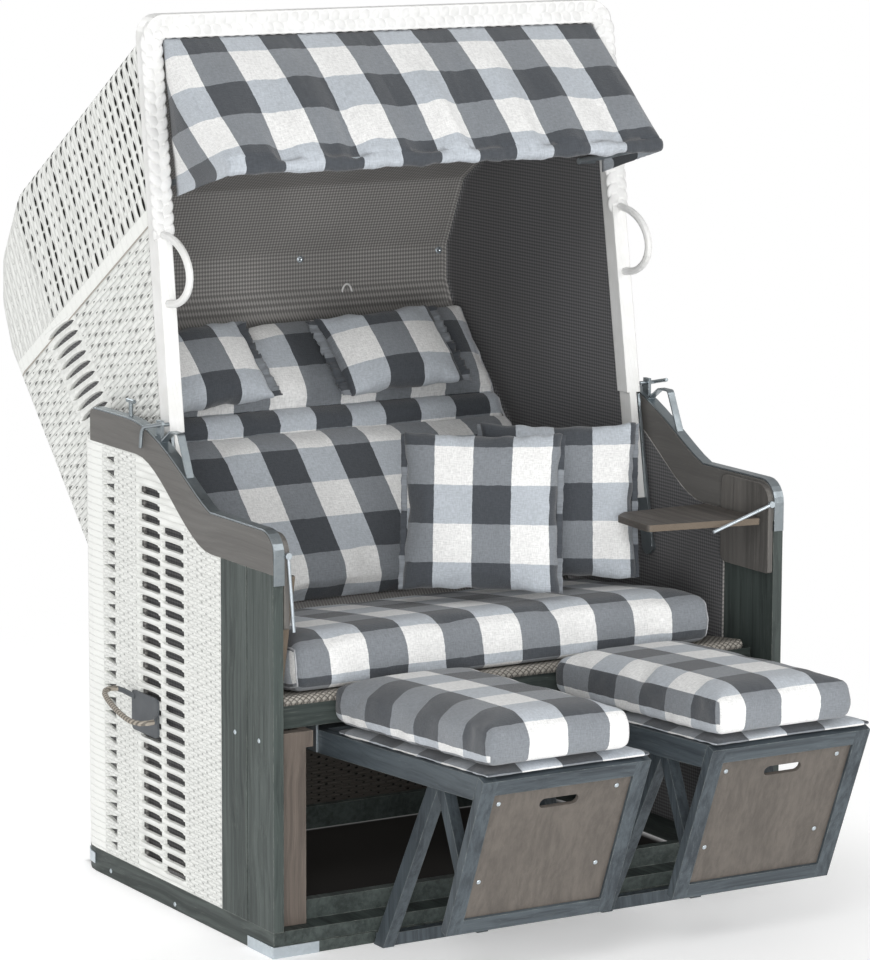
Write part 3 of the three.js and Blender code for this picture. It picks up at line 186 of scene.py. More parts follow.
class Tree:
    """Builds a node tree: adds nodes, and joins values or sockets to their inputs."""

    def __init__(self, tree):
        self.tree = tree

    def add(self, kind, inputs=None, **settings):
        """Adds a node with these settings and inputs."""
        node = self.tree.nodes.new(kind)
        for name, value in settings.items():
            setattr(node, name, value)
        for key, value in (inputs or {}).items():
            self.put(value, node.inputs[key])
        return node

    def put(self, value, socket):
        """Links a socket to an input, or sets the input's value."""
        if isinstance(value, bpy.types.NodeSocket):
            self.tree.links.new(value, socket)
        else:
            socket.default_value = value

    def math(self, operation, *values, clamp=False):
        """A number from one, two or three others."""
        node = self.add("ShaderNodeMath", operation=operation, use_clamp=clamp)
        for value, socket in zip(values, node.inputs):
            self.put(value, socket)
        return node.outputs[0]

    def plus(self, first, second):
        """The sum of two numbers."""
        return self.math("ADD", first, second)

    def minus(self, first, second):
        """The first number less the second."""
        return self.math("SUBTRACT", first, second)

    def times(self, first, second):
        """The product of two numbers."""
        return self.math("MULTIPLY", first, second)

    def over(self, first, second):
        """The first number divided by the second."""
        return self.math("DIVIDE", first, second)

    def most(self, first, second):
        """The larger of two numbers."""
        return self.math("MAXIMUM", first, second)

    def below(self, value, limit):
        """1 where a number is less than a limit, or else 0."""
        return self.math("LESS_THAN", value, limit)

    def above(self, value, limit):
        """1 where a number is more than a limit, or else 0."""
        return self.math("GREATER_THAN", value, limit)

    def absolute(self, value):
        """A number without its sign."""
        return self.math("ABSOLUTE", value)

    def sine(self, angle):
        """The sine of an angle in radians."""
        return self.math("SINE", angle)

    def fraction(self, value):
        """What a number has above the whole number under it."""
        return self.math("FRACT", value)

    def floor(self, value):
        """The whole number under a number."""
        return self.math("FLOOR", value)

    def vector(self, operation, *values):
        """A vector from one or two others."""
        node = self.add("ShaderNodeVectorMath", operation=operation)
        for value, socket in zip(values, node.inputs):
            self.put(value, socket)
        return node.outputs["Value" if operation in ("LENGTH", "DOT_PRODUCT") else "Vector"]

    def parts(self, vector):
        """The three numbers of a vector."""
        return self.add("ShaderNodeSeparateXYZ", {"Vector": vector}).outputs[:]

    def point(self, x, y, z):
        """A vector from three numbers."""
        return self.add("ShaderNodeCombineXYZ", {"X": x, "Y": y, "Z": z}).outputs[0]

    def mix(self, share, first, second, blend="MIX"):
        """A colour between two others."""
        node = self.add("ShaderNodeMix", data_type="RGBA", blend_type=blend)
        for value, socket in zip((share, first, second), (node.inputs[0], node.inputs[6], node.inputs[7])):
            self.put(value, socket)
        return node.outputs[2]

    def ramp(self, value, low, high, start=0.0, end=1.0):
        """A number that rises smoothly from start to end as the value goes from low to high."""
        node = self.add("ShaderNodeMapRange", {0: value, 1: low, 2: high, 3: start, 4: end},
                        interpolation_type="SMOOTHSTEP")
        return node.outputs[0]

    def noise(self, vector, scale, detail=3.0, roughness=0.55):
        """Soft noise from 0 to 1."""
        inputs = {"Vector": vector, "Scale": scale, "Detail": detail, "Roughness": roughness}
        return self.add("ShaderNodeTexNoise", inputs).outputs[0]


def group(name, inputs, outputs, build):
    """A node group by name: inputs give each socket's type and default, and build returns the outputs' sockets."""
    found = bpy.data.node_groups.get(name)
    if found:
        return found
    made = bpy.data.node_groups.new(name, "ShaderNodeTree")
    for label, (kind, default) in inputs.items():
        socket = made.interface.new_socket(name=label, in_out="INPUT", socket_type=f"NodeSocket{kind}")
        if default is not None:
            socket.default_value = default
    for label, kind in outputs.items():
        made.interface.new_socket(name=label, in_out="OUTPUT", socket_type=f"NodeSocket{kind}")
    tree = Tree(made)
    start = tree.add("NodeGroupInput")
    results = build(tree, {label: start.outputs[label] for label in inputs})
    tree.add("NodeGroupOutput", results)
    return made


def use(tree, node_group, **inputs):
    """A group node in a tree, with underscores in the input names standing for spaces."""
    node = tree.add("ShaderNodeGroup", node_tree=node_group)
    for label, value in inputs.items():
        tree.put(value, node.inputs[label.replace("_", " ")])
    return node.outputs


def check_group():
    """Four-tone check woven from dark and pale threads."""
    def build(tree, given):
        squares = given["Squares"]
        metres = tree.vector("MULTIPLY", squares, tree.point(given["Square"], given["Square"], 0.0))
        wander = tree.noise(metres, 45.0, 2.0)
        shift = tree.times(tree.minus(wander, 0.5), 0.045)
        across, down, _ = tree.parts(squares)
        dark_column = tree.below(tree.fraction(tree.times(tree.plus(across, shift), 0.5)), 0.5)
        dark_row = tree.below(tree.fraction(tree.times(tree.plus(down, shift), 0.5)), 0.5)
        pale = tree.mix(dark_column, given["White"], given["Grey"])
        deep = tree.mix(dark_column, given["Pale"], given["Charcoal"])
        cloth = tree.mix(dark_row, pale, deep)
        x, y, _ = tree.parts(metres)
        rate = tree.over(0.5, given["Thread"])
        warp = tree.noise(tree.point(tree.times(x, rate), tree.times(y, 90.0), 0.0), 1.0)
        weft = tree.noise(tree.point(tree.times(x, 90.0), tree.times(y, rate), 3.0), 1.0)
        slub = tree.plus(warp, weft)
        tone = tree.ramp(slub, 0.55, 1.45, 0.80, 1.16)
        shade = tree.noise(metres, 9.0, 3.0)
        tone = tree.times(tone, tree.ramp(shade, 0.2, 0.8, 0.94, 1.05))
        colour = tree.vector("SCALE", cloth)
        tree.put(tone, colour.node.inputs["Scale"])
        turn = tree.times(rate, 2 * math.pi)
        ribs = tree.times(tree.sine(tree.times(x, turn)), tree.sine(tree.times(y, turn)))
        height = tree.plus(tree.times(ribs, 0.00012), tree.times(slub, 0.0005))
        return {"Color": colour, "Height": height, "Tone": tone}
    inputs = {"Squares": ("Vector", None), "Square": ("Float", 0.079), "Thread": ("Float", 0.0011),
              "Charcoal": ("Color", (0.062, 0.069, 0.079, 1)), "Grey": ("Color", (0.215, 0.232, 0.252, 1)),
              "Pale": ("Color", (0.455, 0.490, 0.530, 1)), "White": ("Color", (0.80, 0.80, 0.79, 1))}
    return group("Check Cloth", inputs, {"Color": "Color", "Height": "Float", "Tone": "Float"}, build)


def crease_group():
    """Soft creases in cloth or leather, as a height."""
    def build(tree, given):
        bent = tree.add("ShaderNodeTexNoise", {"Vector": given["Vector"], "Scale": 5.0, "Detail": 1.0})
        warped = tree.vector("ADD", given["Vector"], tree.vector("MULTIPLY", bent.outputs[1], (0.10, 0.10, 0.10)))
        folds = tree.add("ShaderNodeTexNoise", {"Vector": warped, "Scale": given["Scale"], "Detail": 2.0},
                         noise_type="RIDGED_MULTIFRACTAL", normalize=True)
        soft = tree.ramp(folds.outputs[0], 0.35, 0.95)
        return {"Height": tree.times(soft, given["Depth"])}
    inputs = {"Vector": ("Vector", None), "Scale": ("Float", 9.0), "Depth": ("Float", 0.0012)}
    return group("Creases", inputs, {"Height": "Float"}, build)


def grain_group():
    """Stained softwood: grain runs along the first axis of the coordinates."""
    def build(tree, given):
        x, y, z = tree.parts(given["Grain"])
        wave = tree.noise(tree.point(tree.times(x, 3.0), tree.times(y, 5.0), tree.times(z, 5.0)), 1.0, 2.0)
        sway = tree.times(tree.minus(wave, 0.5), 0.055)
        side, up = tree.plus(y, sway), tree.plus(z, sway)
        streaks = tree.noise(tree.point(tree.times(x, 2.2), tree.times(side, 110.0),
                                        tree.times(up, 110.0)), 1.0, 5.0, 0.62)
        pores = tree.noise(tree.point(tree.times(x, 16.0), tree.times(side, 620.0), tree.times(up, 620.0)), 1.0, 2.0)
        bands = tree.noise(tree.point(tree.times(x, 0.9), tree.times(side, 24.0), tree.times(up, 24.0)), 1.0, 2.0)
        figure = tree.plus(tree.times(streaks, 0.6), tree.times(bands, 0.4))
        share = tree.ramp(figure, 0.34, 0.66)
        colour = tree.mix(share, given["Deep"], given["Stain"])
        colour = tree.mix(tree.ramp(pores, 0.60, 0.82, 0.0, 0.35), colour, given["Worn"])
        worn = tree.times(given["Edge"], tree.ramp(tree.noise(given["Grain"], 60.0), 0.35, 0.7, 0.2, 0.9))
        colour = tree.mix(worn, colour, given["Worn"])
        height = tree.plus(tree.times(streaks, 0.0011), tree.times(pores, 0.0003))
        return {"Color": colour, "Height": height, "Roughness": tree.ramp(figure, 0.3, 0.7, 0.62, 0.46)}
    inputs = {"Grain": ("Vector", None), "Stain": ("Color", (0.1, 0.12, 0.11, 1)),
              "Deep": ("Color", (0.04, 0.05, 0.05, 1)), "Worn": ("Color", (0.3, 0.32, 0.3, 1)),
              "Edge": ("Float", 0.0)}
    return group("Stained Grain", inputs, {"Color": "Color", "Height": "Float", "Roughness": "Float"}, build)


def soft_edge_group():
    """Slightly rounded edges: a normal, and a mask of where the edges are."""
    def build(tree, given):
        bevel = tree.add("ShaderNodeBevel", {"Radius": given["Radius"]}, samples=4)
        true = tree.add("ShaderNodeNewGeometry").outputs["Normal"]
        facing = tree.vector("DOT_PRODUCT", bevel.outputs[0], true)
        return {"Normal": bevel.outputs[0], "Edge": tree.ramp(facing, 0.995, 0.86)}
    return group("Soft Edges", {"Radius": ("Float", 0.002)}, {"Normal": "Vector", "Edge": "Float"}, build)


def plait_group():
    """Flat strands over ribs. Holes stand in a grid of ribs and rows, every second rib shifted by the stagger. The
    tone holds painted shade from the relief along with random tone.
    """
    def build(tree, given):
        ribs = tree.over(given["Along"], given["Rib"])
        odd = tree.above(tree.fraction(tree.times(ribs, 0.5)), 0.5)
        shifted = tree.plus(given["Across"], tree.times(odd, given["Stagger"]))
        rows = tree.over(shifted, given["Row"])
        along = tree.times(tree.minus(tree.fraction(ribs), 0.5), given["Rib"])
        across = tree.times(tree.minus(tree.fraction(rows), 0.5), given["Row"])
        lean = tree.times(along, given["Wedge"])
        vary = tree.noise(tree.point(tree.floor(ribs), tree.floor(rows), 0.3), 1.7, 0.0)
        size = tree.ramp(vary, 0.3, 0.7, 0.55, 1.25)
        half = tree.times(tree.times(given["Width"], 0.5), size)
        half = tree.most(tree.plus(half, lean), 0.0002)
        reach = tree.times(tree.times(given["Length"], 0.5), size)
        there = tree.plus(tree.math("POWER", tree.absolute(tree.over(along, reach)), 2.0),
                          tree.math("POWER", tree.absolute(tree.over(across, half)), 2.0))
        hole = tree.ramp(there, 1.25, 0.75)
        strands = tree.over(shifted, tree.times(given["Row"], 0.5))
        rounding = tree.absolute(tree.sine(tree.times(tree.minus(strands, 0.5), math.pi)))
        over = tree.math("COSINE", tree.times(tree.plus(ribs, tree.floor(tree.plus(strands, 0.5))), math.pi))
        relief = tree.plus(tree.times(tree.math("POWER", rounding, 0.5), 0.5), tree.times(over, 0.28))
        dip = tree.times(tree.ramp(there, 2.6, 0.6), 1.1)
        height = tree.times(tree.minus(relief, dip), given["Relief"])
        fibre = tree.noise(tree.point(tree.times(given["Along"], 10.0),
                                      tree.times(given["Across"], 420.0), odd), 1.0, 2.0)
        piece = tree.noise(tree.point(tree.times(given["Along"], 7.0), tree.floor(strands), 0.5), 1.0, 1.0)
        # Tone: painted shade from the relief, darker where strands run low or under, plus random tone per strand and
        # along the fibres.
        tone = tree.plus(tree.times(relief, 0.16), tree.times(piece, 0.22))
        tone = tree.plus(tone, tree.times(fibre, 0.10))
        return {"Hole": hole, "Height": height, "Tone": tone}
    inputs = {"Along": ("Float", 0.0), "Across": ("Float", 0.0), "Rib": ("Float", 0.025), "Row": ("Float", 0.0243),
              "Length": ("Float", 0.012), "Width": ("Float", 0.006), "Stagger": ("Float", 0.0),
              "Wedge": ("Float", 0.0), "Relief": ("Float", 0.003)}
    return group("Plaited Strands", inputs, {"Hole": "Float", "Height": "Float", "Tone": "Float"}, build)


def metal_group():
    """Zinc spangle and fine scratches on steel."""
    def build(tree, given):
        spangle = tree.add("ShaderNodeTexVoronoi", {"Vector": given["Vector"], "Scale": 140.0}).outputs["Color"]
        grey = tree.parts(spangle)[0]
        scratches = tree.noise(tree.vector("MULTIPLY", given["Vector"], (30.0, 900.0, 900.0)), 1.0, 2.0)
        cloud = tree.noise(given["Vector"], 26.0, 3.0)
        colour = tree.mix(tree.times(grey, 0.35), (0.60, 0.66, 0.70, 1), (0.42, 0.48, 0.52, 1))
        colour = tree.mix(tree.ramp(cloud, 0.55, 0.8, 0.0, 0.3), colour, (0.30, 0.32, 0.33, 1))
        rough = tree.plus(tree.ramp(cloud, 0.3, 0.7, 0.24, 0.44), tree.times(scratches, 0.08))
        return {"Color": colour, "Height": tree.times(scratches, 0.0001), "Roughness": rough}
    return group("Zinc Coat", {"Vector": ("Vector", None)},
                 {"Color": "Color", "Height": "Float", "Roughness": "Float"}, build)


# Materials

def finished(name, look):
    """A material by name: look fills a tree and returns what goes into the shader, with its height as bump."""
    found = bpy.data.materials.get(name)
    if found:
        return found
    made = bpy.data.materials.new(name)
    made.use_nodes = True
    made.node_tree.nodes.clear()
    tree = Tree(made.node_tree)
    result = look(tree)
    shader = tree.add("ShaderNodeBsdfPrincipled")
    height, normal = result.pop("Height", None), result.pop("Normal", None)
    for label, value in result.items():
        tree.put(value, shader.inputs[label])
    if height is not None:
        bump = tree.add("ShaderNodeBump", {"Height": height, "Distance": 1.0, "Strength": 1.0})
        if normal is not None:
            tree.put(normal, bump.inputs["Normal"])
        normal = bump.outputs[0]
    if normal is not None:
        tree.put(normal, shader.inputs["Normal"])
    output = tree.add("ShaderNodeOutputMaterial")
    tree.put(shader.outputs[0], output.inputs[0])
    return made


def object_point(tree):
    """Coordinates that stay with the piece, in metres."""
    return tree.add("ShaderNodeTexCoord").outputs["Object"]


def object_normal(tree):
    """The numbers of the surface's direction, in the piece's own axes, without their signs."""
    normal = tree.add("ShaderNodeTexCoord").outputs["Normal"]
    return [tree.absolute(value) for value in tree.parts(normal)]


def cloth_material(name="block_check", crease=0.0016):
    """Checked cloth, from the UV map that counts squares."""
    cloth = bpy.context.scene.chair_cloth

    def look(tree):
        squares = tree.add("ShaderNodeUVMap", uv_map="cloth").outputs[0]
        check = use(tree, check_group(), Squares=squares, Square=cloth.square, Thread=cloth.thread)
        folds = use(tree, crease_group(), Vector=object_point(tree), Scale=7.0, Depth=crease)
        height = tree.plus(check["Height"], folds["Height"])
        return {"Base Color": check["Color"], "Roughness": 0.92, "Sheen Weight": 0.25, "Sheen Roughness": 0.5,
                "Specular IOR Level": 0.25, "Height": height}
    return finished(name, look)


GREEN_STAIN = {"Stain": (0.066, 0.083, 0.077, 1), "Deep": (0.027, 0.035, 0.033, 1), "Worn": (0.24, 0.26, 0.235, 1)}
ARM_STAIN = {"Stain": (0.142, 0.137, 0.129, 1), "Deep": (0.118, 0.114, 0.108, 1), "Worn": (0.25, 0.24, 0.22, 1)}
PLATE_STAIN = {"Stain": (0.128, 0.112, 0.097, 1), "Deep": (0.092, 0.081, 0.071, 1), "Worn": (0.17, 0.155, 0.14, 1)}
GREY_STAIN = {"Stain": (0.150, 0.142, 0.132, 1), "Deep": (0.080, 0.076, 0.071, 1), "Worn": (0.30, 0.28, 0.25, 1)}
BLUE_STAIN = {"Stain": (0.075, 0.093, 0.106, 1), "Deep": (0.031, 0.039, 0.047, 1), "Worn": (0.24, 0.27, 0.26, 1)}
BROWN_STAIN = {"Stain": (0.170, 0.140, 0.118, 1), "Deep": (0.100, 0.082, 0.070, 1), "Worn": (0.30, 0.26, 0.22, 1)}


def wood_material(name, stain, axis, framed=None):
    """Stained wood with its grain along an axis. Framed gives the half width inside which a frame's rails run
    across, for a frame that is centred on either footrest."""
    order = {"x": (0, 1, 2), "y": (1, 0, 2), "z": (2, 0, 1)}

    def look(tree):
        values = tree.parts(object_point(tree))
        grain = tree.point(*[values[i] for i in order[axis]])
        if framed:
            away = tree.absolute(tree.minus(tree.absolute(values[0]), PANEL_TOP[0]))
            rail = tree.below(away, framed)
            across = tree.point(*values)
            grain = tree.add("ShaderNodeMix", {0: rail, 4: grain, 5: across}, data_type="VECTOR").outputs[1]
        edge = use(tree, soft_edge_group(), Radius=0.0022)
        wood = use(tree, grain_group(), Grain=grain, Edge=edge["Edge"], **stain)
        return {"Base Color": wood["Color"], "Roughness": wood["Roughness"], "Specular IOR Level": 0.4,
                "Height": wood["Height"], "Normal": edge["Normal"]}
    return finished(name, look)


def table_material():
    """Stained top and underside, with the bare plies showing on the edges."""
    def look(tree):
        point = object_point(tree)
        values = tree.parts(point)
        edge = use(tree, soft_edge_group(), Radius=0.0015)
        wood = use(tree, grain_group(), Grain=tree.point(values[1], values[0], values[2]), Edge=edge["Edge"],
                   Stain=(0.105, 0.092, 0.080, 1), Deep=(0.055, 0.050, 0.046, 1), Worn=(0.3, 0.25, 0.2, 1))
        flat = tree.most(object_normal(tree)[2], object_normal(tree)[0])
        plies = tree.times(tree.plus(values[2], values[0]), 2 * math.pi / 0.0026)
        layers = tree.sine(plies)
        ply = tree.mix(tree.ramp(layers, -0.4, 0.4), (0.075, 0.060, 0.045, 1), (0.210, 0.165, 0.120, 1))
        bare = tree.ramp(flat, 0.75, 0.55)
        return {"Base Color": tree.mix(bare, wood["Color"], ply), "Roughness": wood["Roughness"],
                "Height": wood["Height"], "Normal": edge["Normal"]}
    return finished("table_wood", look)


def steel_material(name="galvanised_steel", zinc_share=1.0):
    """Galvanised steel. Zinc share is the share of the zinc colour; the rest is near black, a painted dark
    reflection.
    """
    def look(tree):
        zinc = use(tree, metal_group(), Vector=object_point(tree))
        edge = use(tree, soft_edge_group(), Radius=0.0012)
        colour = tree.mix(zinc_share, (0.03, 0.04, 0.04, 1), zinc["Color"])
        return {"Base Color": colour, "Metallic": 0.9, "Roughness": zinc["Roughness"], "Height": zinc["Height"],
                "Normal": edge["Normal"]}
    return finished(name, look)


def lining_material():
    """Woven plastic lining with a fine diagonal dot: paler on the back and the roof, and darker on the side walls,
    where the dark is painted shade.
    """
    def look(tree):
        x, y, z = tree.parts(object_point(tree))
        wall = tree.ramp(object_normal(tree)[0], 0.6, 0.8)
        down = tree.minus(tree.times(z, 0.80), tree.times(y, 0.60))
        across = tree.mix(wall, tree.point(x, down, 0.0), tree.point(y, z, 0.0))
        u, v, _ = tree.parts(across)
        pitch = 2 * math.pi / 0.0125
        first = tree.sine(tree.times(tree.plus(u, v), pitch))
        second = tree.sine(tree.times(tree.minus(u, v), pitch))
        dots = tree.times(first, second)
        mottle = tree.noise(object_point(tree), 5.0, 2.0)
        pale = tree.mix(tree.ramp(dots, -0.5, 0.7), (0.160, 0.155, 0.150, 1), (0.390, 0.378, 0.362, 1))
        dark = tree.mix(tree.ramp(dots, -0.5, 0.7), (0.072, 0.072, 0.076, 1), (0.185, 0.184, 0.188, 1))
        # Painted shade: faces turned to the sides get the darker copy of the lining's colours.
        colour = tree.mix(wall, pale, dark)
        colour = tree.mix(tree.ramp(mottle, 0.3, 0.7, 0.0, 0.2), colour, (0.10, 0.098, 0.095, 1))
        return {"Base Color": colour, "Roughness": 0.8, "Height": tree.times(dots, 0.0002)}
    return finished("hood_lining_weave", look)


STRAND_WHITE = (0.87, 0.88, 0.85, 1)
# The darker strand colour: for random tone, and for painted shade on the low parts of the relief.
STRAND_TONE_AND_SHADE = (0.64, 0.65, 0.62, 1)
# Painted shade in the holes of the weave, which show near black.
HOLE_PAINTED_SHADE = (0.018, 0.018, 0.017, 1)


def strand_colour(tree, tone, hole):
    """Strand colour from its tone, which holds painted shade from the relief, with painted shade in the holes."""
    colour = tree.mix(tree.ramp(tone, 0.0, 0.36), STRAND_TONE_AND_SHADE, STRAND_WHITE)
    return tree.mix(hole, colour, HOLE_PAINTED_SHADE)


def strand_look(tree, colour, height, hole):
    """What goes into the shader of a plastic strand."""
    return {"Base Color": colour, "Roughness": tree.ramp(hole, 0.0, 1.0, 0.42, 0.95),
            "Specular IOR Level": tree.ramp(hole, 0.0, 1.0, 0.45, 0.0), "Height": height}


def hood_weave_material():
    """Woven hood: holes in pairs of rows on the bonnet and roof, dashes on the side walls, small holes on the
    back. The UV map holds how far a point is along and across the strands, and a second one its zone."""
    weave = bpy.context.scene.chair_weave

    def look(tree):
        along, across, _ = tree.parts(tree.add("ShaderNodeUVMap", uv_map="weave").outputs[0])
        zone, edge, _ = tree.parts(tree.add("ShaderNodeUVMap", uv_map="zone").outputs[0])
        plait = plait_group()
        period = tree.fraction(tree.over(along, 0.052))
        fold = tree.minus(tree.absolute(tree.minus(period, 0.5)), 0.25)
        paired = tree.times(fold, 0.052)
        bonnet = use(tree, plait, Along=tree.plus(paired, 0.013), Across=across, Rib=0.026,
                     Row=weave.row, Length=0.0185, Width=0.0054, Wedge=-0.24, Relief=0.0035)
        walls = use(tree, plait, Along=along, Across=across, Rib=weave.rib, Row=0.0215, Length=0.0125, Width=0.0030,
                    Stagger=0.01075, Relief=0.0048, Wedge=0.16)
        back = use(tree, plait, Along=along, Across=across, Rib=0.026, Row=0.0215, Length=0.010, Width=0.0034,
                   Stagger=0.01075, Relief=0.0035)
        long_row = use(tree, plait, Along=edge, Across=across, Rib=0.028, Row=weave.row,
                       Length=0.0235, Width=0.0068, Relief=0.003)
        is_wall = tree.math("COMPARE", zone, 1.0, 0.3)
        is_back = tree.math("COMPARE", zone, 2.0, 0.3)
        near_seam = tree.times(tree.below(edge, 0.056), tree.below(zone, 0.5))
        border = tree.times(tree.below(tree.absolute(tree.minus(edge, 0.013)), 0.015), tree.below(zone, 1.5))

        def pick(label):
            """One value of the weave, from the zone that a point lies in."""
            value = bonnet[label]
            for mask, other in ((near_seam, long_row), (is_wall, walls), (is_back, back)):
                keep = tree.minus(1.0, mask)
                value = tree.plus(tree.times(value, keep), tree.times(other[label], mask))
            return value
        _, depth, rise = tree.parts(object_point(tree))
        depth = tree.minus(depth, DEPTH_SHIFT)
        run, reach = SLOT_LAST - SLOT_FIRST, SLOT_AXIS * SLOT_LENGTH
        scale = run.x * reach.y - run.y * reach.x
        from_first = (tree.minus(depth, SLOT_FIRST.x), tree.minus(rise, SLOT_FIRST.y))

        def skewed(first, second):
            """One of the two coordinates along the column of slots and along one slot."""
            return tree.plus(tree.times(from_first[0], first / scale), tree.times(from_first[1], second / scale))
        down, beside = skewed(reach.y, -reach.x), skewed(-run.y, run.x)
        slots = tree.times(tree.below(tree.absolute(beside), 0.56),
                           tree.below(tree.absolute(tree.minus(down, 0.5)), 0.58))
        bend = tree.minus(tree.times(depth, 0.750), tree.times(rise, 0.661))
        closed = tree.times(tree.ramp(bend, 0.020, 0.045), tree.below(zone, 0.5))
        faint = tree.minus(1.0, tree.times(tree.most(is_wall, is_back), 0.25))
        plain = tree.most(tree.most(border, slots), closed)
        hole = tree.times(tree.times(pick("Hole"), faint), tree.minus(1.0, plain))
        seam = tree.times(tree.ramp(tree.absolute(edge), 0.0022, 0.0008), tree.below(zone, 1.5))
        # Painted shade: the holes are near black (fainter on the walls and the back), and the tone darkens the low
        # parts of the strands.
        colour = strand_colour(tree, pick("Tone"), hole)
        colour = tree.mix(border, colour, STRAND_WHITE)
        colour = tree.mix(tree.times(seam, 0.75), colour, (0.22, 0.16, 0.11, 1))
        flat = tree.minus(1.0, tree.times(border, 0.75))
        height = tree.minus(tree.times(pick("Height"), flat), tree.times(seam, 0.002))
        bars = tree.times(tree.math("COSINE", tree.times(down, 2 * math.pi * (SLOT_COUNT - 1))), -0.0014)
        height = tree.plus(tree.times(height, tree.minus(1.0, slots)), tree.times(bars, slots))
        return strand_look(tree, colour, height, hole)
    return finished("hood_weave", look)


def side_weave_material():
    """Woven sides of the base: slot bars, basket zones beside them, and a smooth wrap at the rear corner, with
    painted shade in the holes and between the strands.
    """
    def look(tree):
        _, y, z = tree.parts(object_point(tree))
        depth = tree.minus(y, DEPTH_SHIFT)
        facing_side = tree.above(object_normal(tree)[0], 0.5)
        plait = plait_group()
        basket = use(tree, plait, Along=depth, Across=z, Rib=0.0165, Row=0.01225, Length=0.0052, Width=0.0024,
                     Stagger=0.006125, Relief=0.0022)
        bars = use(tree, plait, Along=depth, Across=tree.plus(z, 0.004), Rib=0.045, Row=0.0245, Length=0.001,
                   Width=0.001, Relief=0.0030)
        middle = tree.below(tree.absolute(tree.minus(depth, 0.41)), 0.092)
        wedge = tree.below(tree.absolute(tree.minus(depth, 0.610)), 0.024)
        wrap = tree.most(tree.above(depth, 0.634), tree.minus(1.0, facing_side))
        lines = tree.absolute(tree.sine(tree.times(z, math.pi / 0.01225)))
        plain = tree.most(wrap, tree.most(middle, wedge))
        hole = tree.times(basket["Hole"], tree.times(tree.minus(1.0, plain), 0.40))
        # In the wrap the tone is painted shade between the horizontal strands; elsewhere it is the plait's tone with
        # its painted shade from the relief.
        tone = tree.mix(wrap, tree.mix(middle, basket["Tone"], bars["Tone"]), tree.ramp(lines, 0.0, 0.4, 0.2, 0.4))
        height = tree.mix(wrap, tree.mix(middle, basket["Height"], bars["Height"]),
                          tree.times(tree.ramp(lines, 0.0, 0.5), 0.0008))
        return strand_look(tree, strand_colour(tree, tree.parts(tone)[0], hole), tree.parts(height)[0], hole)
    return finished("side_weave_strands", look)


def rear_weave_material():
    """Woven rear of the base: strands across, with small holes. The holes and the inner face towards the seat are
    painted dark as shade.
    """
    def look(tree):
        x, _, z = tree.parts(object_point(tree))
        rows = use(tree, plait_group(), Along=x, Across=z, Rib=0.0165, Row=0.01225, Length=0.0050, Width=0.0030,
                   Stagger=0.006125, Relief=0.0024)
        facing = tree.parts(tree.add("ShaderNodeTexCoord").outputs["Normal"])[1]
        # Painted shade: the inner face, turned towards the seat, is painted dark brown, and the holes near black.
        colour = tree.mix(tree.below(facing, -0.5), strand_colour(tree, rows["Tone"], rows["Hole"]),
                          tree.mix(rows["Hole"], (0.070, 0.063, 0.055, 1), HOLE_PAINTED_SHADE))
        return strand_look(tree, colour, rows["Height"], rows["Hole"])
    return finished("rear_weave_strands", look)


def braid_material(name, pale, shade, pitch=0.0035):
    """Plastic strand with fine ridges along it, from the UV map that runs along the strand, and painted shade in the
    grooves between the ridges.
    """
    def look(tree):
        _, around, _ = tree.parts(tree.add("ShaderNodeUVMap", uv_map="strand").outputs[0])
        ridges = tree.absolute(tree.sine(tree.times(around, math.pi / pitch)))
        cloud = tree.noise(object_point(tree), 40.0, 2.0)
        colour = tree.mix(tree.ramp(cloud, 0.3, 0.75), shade, pale)
        # Painted shade in the grooves between the ridges.
        colour = tree.mix(tree.ramp(ridges, 0.25, 0.0, 0.0, 0.35), colour, shade)
        return {"Base Color": colour, "Roughness": 0.45, "Height": tree.times(ridges, 0.0003)}
    return finished(name, look)


def rim_material():
    """White flat strand wrapped over the rim and the bow handles."""
    def look(tree):
        x, y, _ = tree.parts(object_point(tree))
        turns = tree.times(tree.plus(x, y), math.pi / 0.008)
        lines = tree.absolute(tree.sine(turns))
        cloud = tree.noise(object_point(tree), 18.0, 3.0)
        colour = tree.mix(tree.ramp(cloud, 0.3, 0.7), (0.76, 0.76, 0.74, 1), (0.82, 0.82, 0.81, 1))
        edge = use(tree, soft_edge_group(), Radius=0.003)
        return {"Base Color": colour, "Roughness": tree.ramp(cloud, 0.3, 0.7, 0.38, 0.5),
                "Height": tree.times(tree.ramp(lines, 0.0, 0.3), 0.0003), "Normal": edge["Normal"]}
    return finished("rim_strand", look)


def nose_material():
    """Seat board: stained underneath, with a beige and white plaited strand over its nose; the dark stain shows in
    the gaps and is graded up the strands' rounded sides as painted shade.
    """
    def look(tree):
        x, y, z = tree.parts(object_point(tree))
        across = tree.over(x, 0.012)
        over = tree.over(tree.plus(y, z), 0.012)
        skew, back = tree.plus(across, over), tree.minus(across, over)
        first = tree.absolute(tree.sine(tree.times(skew, math.pi)))
        second = tree.absolute(tree.sine(tree.times(back, math.pi)))
        relief = tree.times(tree.math("MINIMUM", first, second), 0.0024)
        cloud = tree.noise(object_point(tree), 60.0, 2.0)
        # Partly painted shade: dark stain in the gaps, graded up the rounded strand sides as shading.
        colour = tree.mix(tree.ramp(tree.math("MINIMUM", first, second), 0.05, 0.5),
                          (0.10, 0.09, 0.08, 1), tree.mix(cloud, (0.30, 0.27, 0.23, 1), (0.46, 0.44, 0.40, 1)))
        return {"Base Color": colour, "Roughness": 0.6, "Height": relief}
    return finished("seat_nose_braid", look)


